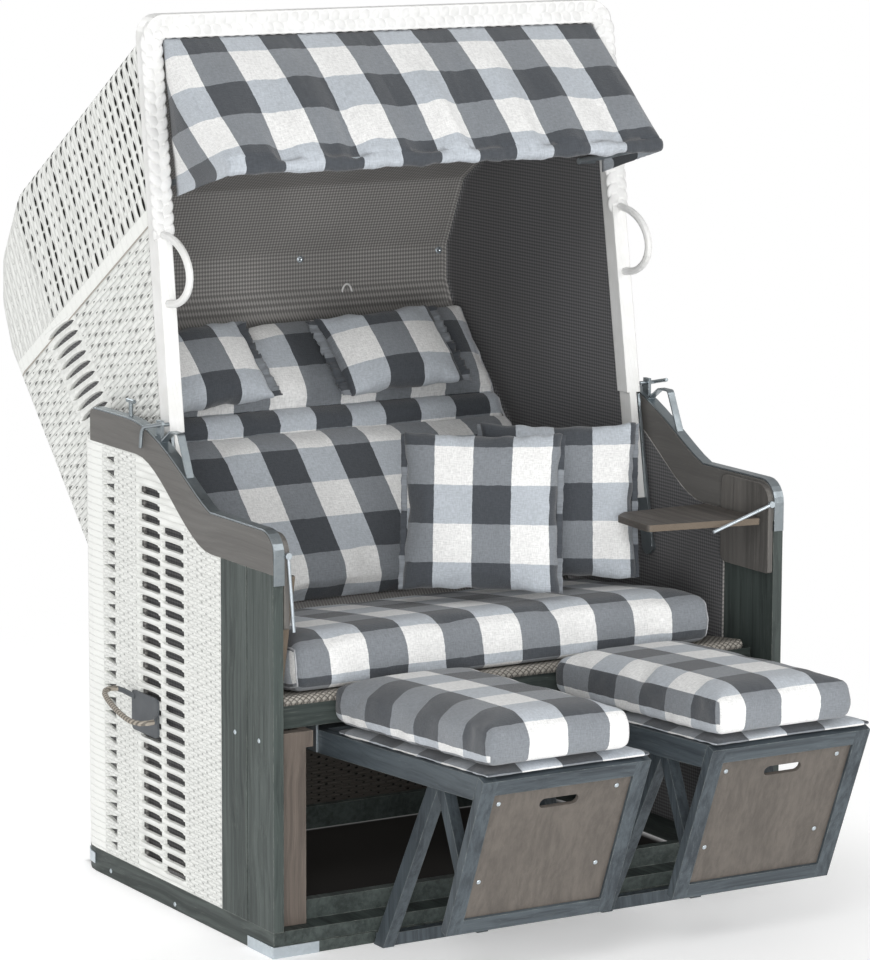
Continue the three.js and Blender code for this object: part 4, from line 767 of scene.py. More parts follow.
def handle_material():
    """Carry handle: a dark painted plate with a beige braided bow, which has painted shade in the troughs between its
    turns.
    """
    def look(tree):
        point = object_point(tree)
        x, y, z = tree.parts(point)
        out = tree.ramp(tree.absolute(x), 0.5445, 0.5455)
        turns = tree.sine(tree.times(tree.plus(tree.times(y, 2.0), z), 430.0))
        # Painted shade: the bow is darker in the troughs between its turns, where its height is low.
        braid = tree.mix(tree.ramp(turns, -0.6, 0.5), (0.14, 0.125, 0.105, 1), (0.36, 0.32, 0.27, 1))
        cloud = tree.noise(point, 30.0, 3.0)
        plate = tree.mix(cloud, (0.055, 0.062, 0.070, 1), (0.105, 0.115, 0.125, 1))
        height = tree.times(tree.times(turns, out), 0.0006)
        edge = use(tree, soft_edge_group(), Radius=0.003)
        return {"Base Color": tree.mix(out, plate, braid), "Roughness": 0.55, "Height": height,
                "Normal": edge["Normal"]}
    return finished("handle_finish", look)


def node_materials():
    """The material of every frame node that stays as it is."""
    steel, rim = steel_material(), rim_material()
    # Painted dark reflection: the arm rails, levers and straps get steel darkened about halfway to black.
    dark_reflection_steel = steel_material("dark_reflection_steel", 0.48)
    looks = {
        "floor_frame": wood_material("sill_wood", GREEN_STAIN, "y"),
        "rear_weave": rear_weave_material(),
        "seat_rail": wood_material("rail_wood", GREEN_STAIN, "x"),
        "seat_board": nose_material(),
        "hood_lining": lining_material(),
        "hood_frame": wood_material("hood_wood", BROWN_STAIN, "x"),
        "hood_rim": rim,
        "awning_frame": steel,
    }
    for side, _ in SIDES:
        looks.update({
            f"front_boards_{side}": wood_material("board_wood", GREEN_STAIN, "z"),
            f"side_panel_{side}": lining_material(),
            f"armrest_{side}": wood_material("arm_wood", ARM_STAIN, "y"),
            f"arm_rail_{side}": dark_reflection_steel,
            f"lever_{side}": dark_reflection_steel,
            f"corner_bracket_front_{side}": steel,
            f"corner_bracket_rear_{side}": steel,
            f"inner_post_{side}": wood_material("post_wood", BROWN_STAIN, "z"),
            f"carry_handle_{side}": handle_material(),
            f"table_bracket_{side}": wood_material("bracket_wood", GREY_STAIN, "z"),
            f"table_top_{side}": table_material(),
            f"stay_rod_{side}": steel,
            f"strap_{side}": dark_reflection_steel,
            f"bow_handle_{side}": rim,
            f"footrest_frame_{side}": wood_material("footrest_wood", BLUE_STAIN, "y", framed=0.146),
            f"footrest_hinge_{side}": steel,
            f"footrest_panel_frame_{side}": wood_material("panel_frame_wood", BLUE_STAIN, "z", framed=0.134),
            f"footrest_panel_plate_{side}": wood_material("panel_wood", PLATE_STAIN, "z"),
            f"footrest_leg_{side}": wood_material("leg_wood", BLUE_STAIN, "z"),
        })
    return looks


# Mesh pieces

def new_piece(name, mesh, material, matrix=None):
    """An object with a mesh, one material and a place."""
    made = bpy.data.objects.new(name, mesh)
    bpy.context.scene.collection.objects.link(made)
    mesh.materials.clear()
    mesh.materials.append(material)
    if matrix is not None:
        made.matrix_world = matrix
    return made


def mesh_from(name, points, faces, maps=None, smooth=True):
    """A mesh from points and faces. Maps hold, for each UV map, the coordinates of every face corner in order."""
    mesh = bpy.data.meshes.new(name)
    mesh.from_pydata([tuple(point) for point in points], [], faces)
    for label, values in (maps or {}).items():
        layer = mesh.uv_layers.new(name=label)
        layer.data.foreach_set("uv", np.array(values, np.float32).ravel())
    mesh.polygons.foreach_set("use_smooth", [smooth] * len(mesh.polygons))
    mesh.update()
    return mesh


def settle(piece):
    """Puts the result of a piece's modifiers into its mesh."""
    bpy.context.view_layer.update()
    graph = bpy.context.evaluated_depsgraph_get()
    made = bpy.data.meshes.new_from_object(piece.evaluated_get(graph), preserve_all_data_layers=True, depsgraph=graph)
    piece.modifiers.clear()
    old, piece.data = piece.data, made
    made.name = old.name
    bpy.data.meshes.remove(old)
    return piece


def refine(piece, levels=1):
    """Subdivides a piece smoothly."""
    modifier = piece.modifiers.new("Refine", "SUBSURF")
    modifier.levels = modifier.render_levels = levels
    modifier.boundary_smooth = "PRESERVE_CORNERS"
    return settle(piece)


def coordinates(piece):
    """The points of a piece's mesh as an array."""
    values = np.empty(len(piece.data.vertices) * 3, np.float32)
    piece.data.vertices.foreach_get("co", values)
    return values.reshape(-1, 3).astype(float)


def set_coordinates(piece, values):
    """Writes points back into a piece's mesh."""
    piece.data.vertices.foreach_set("co", np.asarray(values, np.float32).ravel())
    piece.data.update()


def fill(piece, held=None, movement=None, extra=0.02, square=0.0):
    """Swells a piece with a cloth simulation. Held is each point's pin weight, movement caps how far a point may
    go, extra is the share by which the cloth is larger than its form, and square is the share of the sideways
    movement that is taken back. The piece then goes back to its size."""
    cloth = bpy.context.scene.chair_cloth
    rest = coordinates(piece)
    modifier = piece.modifiers.new("Fill", "CLOTH")
    settings = modifier.settings
    settings.quality = 6
    settings.mass = 0.25
    settings.tension_stiffness = settings.compression_stiffness = 25
    settings.shear_stiffness = 6
    settings.bending_stiffness = 0.25
    settings.use_pressure = True
    settings.uniform_pressure_force = cloth.pressure
    settings.shrink_min = -extra
    settings.effector_weights.gravity = 0
    if held is not None:
        pins = piece.vertex_groups.new(name="held")
        for index, weight in enumerate(held):
            pins.add([index], float(weight), "REPLACE")
        settings.vertex_group_mass = "held"
    modifier.collision_settings.use_self_collision = False
    scene = bpy.context.scene
    for step in range(1, cloth.steps + 1):
        scene.frame_set(step)
    evaluated = piece.evaluated_get(bpy.context.evaluated_depsgraph_get())
    moved = np.empty(len(rest) * 3, np.float32)
    evaluated.data.vertices.foreach_get("co", moved)
    piece.modifiers.clear()
    piece.vertex_groups.clear()
    scene.frame_set(1)
    shift = moved.reshape(-1, 3).astype(float) - rest
    shift[:, :2] *= 1 - square
    length = np.maximum(np.linalg.norm(shift, axis=1, keepdims=True), 1e-9)
    cap = cloth.movement if movement is None else movement
    result = rest + shift * np.minimum(1.0, cap / length)
    low, high = rest.min(0), rest.max(0)
    new_low, new_high = result.min(0), result.max(0)
    result = low + (result - new_low) * (high - low) / np.maximum(new_high - new_low, 1e-9)
    set_coordinates(piece, result)
    return piece


def gathers(piece, seam_distance, depth, reach=0.035, rate=46.0, seed=0.0):
    """Small gathers beside the seams. Seam distance gives how far each point is from a seam."""
    points = coordinates(piece)
    normals = np.empty(len(points) * 3, np.float32)
    piece.data.vertices.foreach_get("normal", normals)
    normals = normals.reshape(-1, 3)
    near = np.clip(1 - seam_distance(points) / reach, 0, 1) ** 1.5
    for index in np.nonzero(near > 0.02)[0]:
        spot = Vector(points[index]) * rate
        spot.z += seed
        points[index] += normals[index] * depth * near[index] * noise.noise(spot)
    set_coordinates(piece, points)


def unfolded(lateral, core, drop, radius, rise):
    """How far a point is from the middle of a block's top, measured over its rounded edge and down its side."""
    angle = math.atan2(abs(lateral), rise)
    return abs(core) + radius * angle + drop


def block(name, size, crown, cells, channels, pattern, matrix, body, node, seed=0.0, levels=1,
          end_share=0.14, rows=None, side_phase=None, cover=True):
    """A filled block cushion. Size is width, length and height, channels are sewn lines by their distance from
    the far end, and pattern gives a check line across and down with the size of a square. End share is the radius
    at both ends as a share of the height, rows turns a distance down into squares, and side phase is where a
    square starts at the top edge of both ends. A cover has a welt round both ends."""
    half = [value / 2 for value in size]
    radius = size[2] * 0.36
    radii = (size[2] * end_share, radius, radius)
    line_across, line_down, square = pattern
    points, index, units = [], {}, []

    def vertex(i, j, k):
        """The number of the point at a place in the grid, made where it is new."""
        key = (i, j, k)
        if key not in index:
            unit = [2 * n / count - 1 for n, count in zip(key, cells)]
            spread = [math.sin(value * math.pi / 2) * 0.55 + value * 0.45 for value in unit]
            raw = Vector([value * reach for value, reach in zip(spread, half)])
            core = Vector([min(max(value, bend - reach), reach - bend)
                           for value, bend, reach in zip(raw, radii, half)])
            rim = Vector([value / bend for value, bend in zip(raw - core, radii)])
            turned = rim.normalized()
            spot = core + Vector([value * bend for value, bend in zip(turned, radii)])
            spot.x *= 1 - 0.012 * (1 - spread[1] ** 2)
            spot.y *= 1 - 0.016 * (1 - spread[0] ** 2)
            if unit[2] > 0:
                spot.z += crown * (1 - spread[0] ** 2) * (1 - spread[1] ** 2)
                for channel in channels:
                    away = (spot.y - (half[1] - channel)) / (size[2] / 5)
                    spot.z -= (size[2] / 5) * math.exp(-away * away)
            index[key] = len(points)
            points.append(spot)
            units.append((raw, core))
        return index[key]

    def mapped(number, side):
        """Squares across and down at a point, as the cloth lies on that side of the block."""
        raw, core = units[number]
        rim = raw - core
        drop = max(half[2] - radius - core.z, 0.0)
        across, down = raw.x, raw.y
        if side in ("top", "fronts"):
            down = math.copysign(unfolded(rim.y, core.y, drop, radius, rim.z), raw.y)
        columns = (across - line_across) / square
        if side == "ends":
            depth = half[2] - raw.z
            columns = side_phase + depth / square if side_phase is not None else (
                across - line_across + math.copysign(depth, raw.x)) / square
        return (columns, rows(down) if rows else (down - line_down) / square)

    faces, corners = [], []
    nx, ny, nz = cells
    for i in range(nx):
        for j in range(ny):
            for k, side in ((nz, "top"), (0, "bottom")):
                quad = [(i, j, k), (i + 1, j, k), (i + 1, j + 1, k), (i, j + 1, k)]
                faces.append((quad if k else quad[::-1], side))
        for k in range(nz):
            for j in (0, ny):
                quad = [(i, j, k), (i + 1, j, k), (i + 1, j, k + 1), (i, j, k + 1)]
                faces.append((quad[::-1] if j else quad, "fronts"))
    for j in range(ny):
        for k in range(nz):
            for i in (0, nx):
                quad = [(i, j, k), (i, j + 1, k), (i, j + 1, k + 1), (i, j, k + 1)]
                faces.append((quad if i else quad[::-1], "ends"))
    made = []
    for quad, side in faces:
        numbers = [vertex(*key) for key in quad]
        made.append(numbers)
        corners.extend(mapped(number, side) for number in numbers)
    mesh = mesh_from(name, points, made, {"cloth": corners})
    piece = new_piece(name, mesh, cloth_material(), matrix)
    held = np.zeros(len(points))
    for number, (raw, core) in enumerate(units):
        if raw.z < -half[2] + 1e-6:
            held[number] = 1.0
        for channel in channels:
            if abs(raw.y - (half[1] - channel)) < size[1] / ny * 0.6 and raw.z > 0:
                held[number] = 0.9
        edges = sum(abs(abs(value) - reach) < 1e-6 for value, reach in zip(raw, half))
        if edges >= 2 and raw.z > 0:
            held[number] = max(held[number], 0.35)
    fill(piece, held)
    refine(piece, levels)
    spots = coordinates(piece)
    for channel in channels:
        away = spots[:, 1] - (half[1] - channel)
        high = np.clip(spots[:, 2] / half[2] + 0.4, 0, 1)
        spots[:, 2] -= high * (0.013 * np.exp(-(away / 0.0055) ** 2) + 0.007 * np.exp(-(away / 0.024) ** 2))
    set_coordinates(piece, spots)

    def seam_distance(spots):
        """How far each point is from the nearest seam."""
        ends = half[0] - radii[0] * 0.4 - np.abs(spots[:, 0])
        fronts = half[1] - radius * 0.4 - np.abs(spots[:, 1])
        distance = np.minimum(np.abs(ends), np.abs(fronts) + 0.012)
        for channel in channels:
            distance = np.minimum(distance, np.abs(spots[:, 1] - (half[1] - channel)) + 0.006)
        return distance
    gathers(piece, seam_distance, bpy.context.scene.chair_cloth.pucker, seed=seed)
    if cover:
        spots = coordinates(piece)
        for end, i in (("left", 0), ("right", nx)):
            ring = ([(i, j, nz) for j in range(ny)] + [(i, ny, k) for k in range(nz, 0, -1)]
                    + [(i, j, 0) for j in range(ny, 0, -1)] + [(i, 0, k) for k in range(nz)])
            edge = sweep(f"{name}_welt_{end}", [Vector(spots[index[key]]) for key in ring], (0.0017, 0.0017),
                         braid_material("cushion_welt", (0.62, 0.63, 0.65, 1), (0.34, 0.35, 0.37, 1), 0.0012),
                         closed=True, sides=8, matrix=matrix)
            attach(edge, body)
    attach(piece, body)
    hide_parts(node)
    return piece


def pillow(name, size, count, pattern, matrix, body, node, seed=0.0, flange=0.0):
    """A loose pillow of two cloths sewn round their edge, optionally with a gathered flange at both ends."""
    width, length, height = size[0] - 2 * flange, size[1], size[2]
    line_across, line_down, square = pattern
    points, flat, index, faces, corners = [], [], {}, [], []

    def vertex(i, j, side):
        """The number of a point on the front or the back cloth, shared at the border."""
        border = i in (0, count) or j in (0, count)
        key = (i, j, 0 if border else side)
        if key not in index:
            u, v = (math.sin((2 * n / count - 1) * math.pi / 2) * 0.5 + (2 * n / count - 1) * 0.5 for n in (i, j))
            full = max((1 - u * u) * (1 - v * v), 0) ** 0.42
            z = 0.0 if border else side * height / 2 * (0.12 + 0.88 * full)
            index[key] = len(points)
            points.append(Vector((u * width / 2 * (1 - 0.03 * (1 - v * v)),
                                  v * length / 2 * (1 - 0.03 * (1 - u * u)), z)))
            flat.append(((u * width / 2 - line_across) / square, (v * length / 2 - line_down) / square))
        return index[key]

    for side in (1, -1):
        for i in range(count):
            for j in range(count):
                quad = [(i, j), (i + 1, j), (i + 1, j + 1), (i, j + 1)][::side]
                faces.append([vertex(a, b, side) for a, b in quad])
                corners.extend(flat[number] for number in faces[-1])
    mesh = mesh_from(name, points, faces, {"cloth": corners})
    piece = new_piece(name, mesh, cloth_material("pillow_check", 0.0024), matrix)
    fill(piece, movement=0.02, extra=0.05, square=0.75)
    refine(piece)

    def seam_distance(spots):
        """How far each point is from the edge that joins both cloths."""
        return np.minimum(np.abs(width / 2 - np.abs(spots[:, 0])), np.abs(length / 2 - np.abs(spots[:, 1])))
    gathers(piece, seam_distance, 0.0045, reach=0.06, rate=34.0, seed=seed)
    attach(piece, body)
    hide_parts(node)
    if flange:
        for end in (-1, 1):
            ruffle(f"{name}_flange_{'right' if end > 0 else 'left'}", width / 2 * 0.955, end, length, flange + 0.006,
                   matrix, body, seed)
    return piece


def ruffle(name, start, end, length, depth, matrix, body, seed):
    """A gathered strip of cloth that stands out from the end of a pillow."""
    square = bpy.context.scene.chair_cloth.square
    steps, rows = 56, 4
    points, faces, corners = [], [], []
    for j in range(steps + 1):
        along = (j / steps - 0.5) * length * 0.97
        bow = 0.05 * start * (1 - (2 * j / steps - 1) ** 2) * -0.4
        for i in range(rows + 1):
            share = i / rows
            wave = noise.noise(Vector((j * 0.55, share * 0.6, seed + end))) * 0.010 * share
            points.append(Vector((end * (start + bow + depth * share * (1 + 0.15 * noise.noise(
                Vector((j * 0.4, 5.0, seed))))), along + wave * 0.5, wave)))
    for j in range(steps):
        for i in range(rows):
            a = j * (rows + 1) + i
            quad = (a, a + 1, a + rows + 2, a + rows + 1)
            faces.append(quad if end > 0 else quad[::-1])
            for number in faces[-1]:
                spot = points[number]
                corners.append((0.25 + 0.02 * spot.x, spot.y / square + seed))
    piece = new_piece(name, mesh_from(name, points, faces, {"cloth": corners}), cloth_material(), matrix)
    thick = piece.modifiers.new("Thickness", "SOLIDIFY")
    thick.thickness = 0.0016
    thick.offset = 0.0
    settle(piece)
    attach(piece, body)
    return piece


def sweep(name, path, radii, material, closed=False, sides=10, matrix=None, across=None):
    """A strand along a path: radii are its half width and half thickness, and its UV map runs along it. Across is
    the direction of its thickness where that is fixed."""
    count = len(path)
    points, faces, corners = [], [], []
    total = 0.0
    lengths = []
    normal = None
    for i in range(count):
        before = path[(i - 1) % count] if closed or i else path[0]
        after = path[(i + 1) % count] if closed or i < count - 1 else path[-1]
        tangent = (after - before).normalized()
        if across is not None:
            normal = tangent.cross(across).normalized()
        elif normal is None:
            normal = tangent.orthogonal().normalized()
        normal = (normal - tangent * normal.dot(tangent)).normalized()
        side = tangent.cross(normal)
        for j in range(sides):
            angle = 2 * math.pi * j / sides
            points.append(path[i] + normal * math.cos(angle) * radii[0] + side * math.sin(angle) * radii[1])
        lengths.append(total)
        total += (after - path[i]).length
    rings = count if closed else count - 1
    for i in range(rings):
        for j in range(sides):
            nxt, k = (i + 1) % count, (j + 1) % sides
            faces.append((i * sides + j, i * sides + k, nxt * sides + k, nxt * sides + j))
            around = 2 * math.pi * radii[0] / sides
            start, end = lengths[i], lengths[i] + (path[nxt] - path[i]).length
            corners += [(start, j * around), (start, (j + 1) * around), (end, (j + 1) * around), (end, j * around)]
    if not closed:
        faces.append(tuple(range(sides))[::-1])
        faces.append(tuple((count - 1) * sides + j for j in range(sides)))
        corners += [(0.0, 0.0)] * sides + [(total, 0.0)] * sides
    return new_piece(name, mesh_from(name, points, faces, {"strand": corners}), material, matrix)


def merged(name, pieces):
    """One piece from several, which share their maps."""
    with bpy.context.temp_override(active_object=pieces[0], selected_editable_objects=pieces, object=pieces[0]):
        bpy.ops.object.join()
    pieces[0].name = name
    pieces[0].data.name = name
    return pieces[0]


def rim_path():
    """The middle line of the rim's front, from one leg over the top to the other, in even steps."""
    middle, low, top, corner = 0.4835, 1.185, HOOD_HEIGHT - 0.0205, 0.030
    leg_steps, turn_steps, top_steps = 40, 8, 120
    flat = []
    for i in range(leg_steps):
        flat.append((-middle, low + (top - corner - low) * i / leg_steps))
    for i in range(turn_steps):
        angle = math.pi / 2 * i / turn_steps
        flat.append((-middle + corner * (1 - math.cos(angle)), top - corner * (1 - math.sin(angle))))
    for i in range(top_steps):
        flat.append((-middle + corner + (middle - corner) * 2 * i / top_steps, top))
    flat += [(-x, z) for x, z in reversed(flat[:leg_steps + turn_steps])]
    return [row(x * taper_at(z), rim_front(z) + 0.0035, z) for x, z in flat]


def braid(name, path, width, strand, lobe, facing, material, body):
    """A flat braid of three strands along a path, facing one way."""
    lengths = [0.0]
    for first, second in zip(path, path[1:]):
        lengths.append(lengths[-1] + (second - first).length)
    total = lengths[-1]
    period = 3 * lobe
    steps = int(total / (period / 22))
    pieces = []
    for part in range(3):
        line = []
        for i in range(steps + 1):
            at = total * i / steps
            number = min(np.searchsorted(lengths, at, side="right") - 1, len(path) - 2)
            share = (at - lengths[number]) / (lengths[number + 1] - lengths[number])
            spot = path[number].lerp(path[number + 1], float(share))
            tangent = (path[number + 1] - path[number]).normalized()
            across = tangent.cross(facing).normalized()
            phase = 2 * math.pi * (at / period + part / 3)
            line.append(spot + across * math.sin(phase) * width + facing * math.sin(2 * phase) * strand * 0.14)
        pieces.append(sweep(f"{name}_{part}", line, (strand, strand * 0.34), material, across=facing))
    piece = merged(name, pieces)
    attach(piece, body)
    return piece


def lathe(name, profile, matrix, material, body, steps=20):
    """A turned piece: the profile gives radius and height along its axis."""
    points, faces = [], []
    for radius, height in profile:
        for j in range(steps):
            angle = 2 * math.pi * j / steps
            points.append(Vector((radius * math.cos(angle), radius * math.sin(angle), height)))
    for i in range(len(profile) - 1):
        for j in range(steps):
            k = (j + 1) % steps
            faces.append((i * steps + j, i * steps + k, (i + 1) * steps + k, (i + 1) * steps + j))
    faces.append(tuple(range(steps))[::-1])
    faces.append(tuple((len(profile) - 1) * steps + j for j in range(steps)))
    piece = new_piece(name, mesh_from(name, points, faces), material, matrix)
    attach(piece, body)
    return piece


def screw(name, place, direction, body, radius=0.0042):
    """A domed screw head with a recess, standing on a surface that faces the direction."""
    turn = Vector(direction).to_track_quat("Z", "Y").to_matrix().to_4x4()
    matrix = Matrix.Translation(Vector(place)) @ turn
    profile = [(radius, -0.0008), (radius, 0.0003), (radius * 0.85, 0.0010), (radius * 0.5, 0.0014),
               (radius * 0.38, 0.0013), (radius * 0.30, 0.0004)]
    return lathe(name, profile, matrix, steel_material(), body, steps=16)


def prisms(outlines, low, high):
    """A mesh of prisms that stand across the chair between two distances from its middle, one for each outline of
    depths and heights."""
    points, faces = [], []
    for outline in outlines:
        start, count = len(points), len(outline)
        for x in (low, high):
            points += [row(x, *spot) for spot in outline]
        faces += [list(range(start, start + count))[::-1], list(range(start + count, start + 2 * count))]
        for i in range(count):
            k = (i + 1) % count
            faces.append([start + i, start + k, start + count + k, start + count + i])
    work = bmesh.new()
    mesh = mesh_from("cutter", points, faces)
    work.from_mesh(mesh)
    bmesh.ops.recalc_face_normals(work, faces=work.faces)
    work.to_mesh(mesh)
    work.free()
    return mesh


def carve(piece, cutters):
    """Cuts meshes out of a piece."""
    for mesh in cutters:
        cutter = new_piece("cutter", mesh, piece.data.materials[0])
        cut = piece.modifiers.new("Cut", "BOOLEAN")
        cut.operation = "DIFFERENCE"
        cut.solver = "EXACT"
        cut.object = cutter
        settle(piece)
        bpy.data.objects.remove(cutter)
        bpy.data.meshes.remove(mesh)
    return piece


def bowed(middle, axis, length, width, bow, power=2.0, steps=9):
    """The outline of a slot between two strands: a long lens, bowed to one side."""
    across = Vector((-axis.y, axis.x))
    outline = []
    for edge in (1, -1):
        for i in range(steps):
            t = edge * (1 - 2 * i / steps)
            wide = width / 2 * max(1 - abs(t) ** power, 0.0) ** 0.5 * edge
            outline.append(middle + axis * t * length / 2 + across * (wide + bow * (1 - t * t)))
    return outline


def open_side(name, node, side):
    """A copy of a woven side of the base with its slots opened to the height between two bent strands."""
    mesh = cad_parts[node].data.copy()
    mesh.name = name
    outlines = []
    for depth, width, tall, slotted, near in ((0.322, 0.084, 0.0155, True, 0.0105),
                                              (0.411, 0.084, 0.0155, True, 0.0105),
                                              (0.588, 0.046, 0.0150, False, 0.00525)):
        heights = sorted({round(vertex.co.z, 4) for vertex in mesh.vertices
                          if abs(vertex.co.y - DEPTH_SHIFT - depth) < 0.0012})
        for low, high in zip(heights, heights[1:]):
            if abs(high - low - near) > 0.0008:
                continue
            middle = (low + high) / 2
            if slotted:
                outlines.append(bowed(Vector((depth + width / 2, middle)), Vector((1, 0)), width + 0.002, tall,
                                      0.0012, 10.0))
            else:
                front = depth - 0.0006
                outlines.append([Vector((front, middle - tall / 2)), Vector((depth + width, middle)),
                                 Vector((front, middle + tall / 2))])
    piece = new_piece(name, mesh, side_weave_material(), Matrix.Identity(4))
    carve(piece, [prisms(outlines, side * 0.505, side * 0.530)])
    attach(piece, "base")
    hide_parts(node)
    return piece


def woven_copy(name, node, material):
    """A smooth copy of a woven frame node, with UV maps that follow its strands."""
    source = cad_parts[node]
    mesh = source.data.copy()
    mesh.name = name
    work = bmesh.new()
    work.from_mesh(mesh)
    bmesh.ops.remove_doubles(work, verts=work.verts, dist=1e-5)
    hub = row(0.0, *FAN_HUB)
    tunnels = []
    for face in work.faces:
        centre = face.calc_center_median()
        centre.x = 0.0
        if abs(face.normal.x) < 0.5 and (centre - hub).length < FAN_REACH:
            tunnels.append(face)
    bmesh.ops.delete(work, geom=tunnels, context="FACES")
    bmesh.ops.holes_fill(work, edges=[edge for edge in work.edges if edge.is_boundary], sides=0)
    bmesh.ops.recalc_face_normals(work, faces=work.faces)
    work.to_mesh(mesh)
    work.free()
    piece = new_piece(name, mesh, material, Matrix.Identity(4))
    outlines = [bowed(SLOT_FIRST.lerp(SLOT_LAST, number / (SLOT_COUNT - 1)), SLOT_AXIS, SLOT_LENGTH, SLOT_WIDTH,
                      SLOT_BOW) for number in range(SLOT_COUNT)]
    carve(piece, [prisms(outlines, side * 0.44, side * 0.51) for _, side in SIDES])
    mesh = piece.data
    work = bmesh.new()
    work.from_mesh(mesh)
    bmesh.ops.dissolve_degenerate(work, edges=work.edges, dist=1e-6)
    normal = Vector((0, -ROOF_AXIS[1], ROOF_AXIS[0]))
    bmesh.ops.bisect_plane(work, geom=work.verts[:] + work.edges[:] + work.faces[:], dist=1e-6,
                           plane_co=normal * SEAM_HEIGHT + Vector((0, DEPTH_SHIFT, 0)), plane_no=normal)
    for edge in work.edges:
        edge.smooth = len(edge.link_faces) == 2 and edge.calc_face_angle(0.0) < math.radians(32)
    for face in work.faces:
        face.smooth = True
    for layer in list(work.loops.layers.uv.values()):
        work.loops.layers.uv.remove(layer)
    weave, zone = work.loops.layers.uv.new("weave"), work.loops.layers.uv.new("zone")
    profile = [Vector((y + DEPTH_SHIFT, z)) for y, z in HOOD_PROFILE]
    starts = [0.0]
    for first, second in zip(profile, profile[1:]):
        starts.append(starts[-1] + (second - first).length)

    def profile_distance(spot):
        """How far along the hood's outline a point lies."""
        flat = Vector((spot.y, spot.z))
        best = None
        for start, first, second in zip(starts, profile, profile[1:]):
            run = second - first
            share = min(max((flat - first).dot(run) / run.length_squared, 0.0), 1.0)
            away = (first + run * share - flat).length
            if best is None or away < best[0]:
                best = (away, start + run.length * share)
        return best[1]

    for face in work.faces:
        wall = abs(face.normal.x) > 0.55
        middle = face.calc_center_median()
        for loop in face.loops:
            x, y, z = loop.vert.co
            y -= DEPTH_SHIFT
            lengthwise = ROOF_AXIS[0] * y + ROOF_AXIS[1] * z
            up = -ROOF_AXIS[1] * y + ROOF_AXIS[0] * z
            if wall:
                high = -ROOF_AXIS[1] * (middle.y - DEPTH_SHIFT) + ROOF_AXIS[0] * middle.z > SEAM_HEIGHT
                loop[zone].uv = (0.0 if high else 1.0, up - SEAM_HEIGHT)
                loop[weave].uv = (up, lengthwise) if high else (lengthwise, up)
            else:
                distance = profile_distance(loop.vert.co)
                roof = profile_distance(middle) < starts[2]
                loop[zone].uv = (0.0 if roof else 2.0, 1.0)
                loop[weave].uv = (x + 0.026, distance)
    work.to_mesh(mesh)
    work.free()
    weighted = piece.modifiers.new("Weighted", "WEIGHTED_NORMAL")
    weighted.keep_sharp = True
    weighted.weight = 100
    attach(piece, "hood")
    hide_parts(node)
    return piece


# Operators

class CHAIR_OT_frame(bpy.types.Operator):
    """Give every frame node that stays its procedural material."""

    bl_idname = "chair.frame"
    bl_label = "Frame Finishes"

    def execute(self, context):
        """Assigns the materials."""
        for node, material in node_materials().items():
            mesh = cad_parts[node].data
            mesh.materials.clear()
            mesh.materials.append(material)
        return {"FINISHED"}


class CHAIR_OT_hood(bpy.types.Operator):
    """Build the woven hood with its braided rim."""

    bl_idname = "chair.hood"
    bl_label = "Woven Hood"

    def execute(self, context):
        """Builds the shell and the braid."""
        weave = context.scene.chair_weave
        shell = woven_copy("hood_weave", "hood_shell", hood_weave_material())
        pale = braid_material("rim_braid", (0.82, 0.82, 0.81, 1), (0.70, 0.70, 0.69, 1))
        facing = Vector((0, -1, RIM_SLOPE)).normalized()
        rim = braid("rim_braid", rim_path(), 0.0125, weave.strand, weave.lobe, facing, pale, "hood")
        return {"FINISHED"}


class CHAIR_OT_sides(bpy.types.Operator):
    """Build the woven sides of the base with their open slots."""

    bl_idname = "chair.sides"
    bl_label = "Woven Sides"

    def execute(self, context):
        """Builds both sides."""
        for name, side in SIDES:
            open_side(f"side_weave_{name}_open", f"side_weave_{name}", side)
        return {"FINISHED"}


class CHAIR_OT_seat(bpy.types.Operator):
    """Build the seat and back cushions."""

    bl_idname = "chair.seat"
    bl_label = "Seat and Back"

    def execute(self, context):
        """Builds both cushions."""
        square = context.scene.chair_cloth.square
        seat = placed(SEAT_FRONT, ("X", SEAT_SLOPE)) @ Matrix.Translation((-0.018, 0.216, 0.0505))
        block("seat_cushion_soft", (0.866, 0.452, 0.100), 0.006, (44, 22, 6), (), (0.033, -0.202, square),
              seat, "base", "seat_cushion", seed=3.0)
        back = placed(SLANT_TOP, ("X", SLANT_ANGLE)) @ Matrix.Translation((0, -0.354, 0.0313))

        def back_rows(down):
            """Squares down the back: the roll between its two seams holds one row."""
            slant = down - 0.354
            if slant >= -0.246:
                return 3.0 + (slant + 0.246) / square
            if slant >= -0.303:
                return 2.0 + (slant + 0.303) / 0.0571
            return 1.62 + (slant + 0.318) / square
        block("back_cushion_soft", (0.908, 0.636, 0.062), 0.006, (44, 40, 4), (0.210, 0.267),
              (0.0251, 0.0, square), back, "hood", "back_cushion", seed=8.0, levels=2,
              rows=back_rows, end_share=0.22)
        return {"FINISHED"}


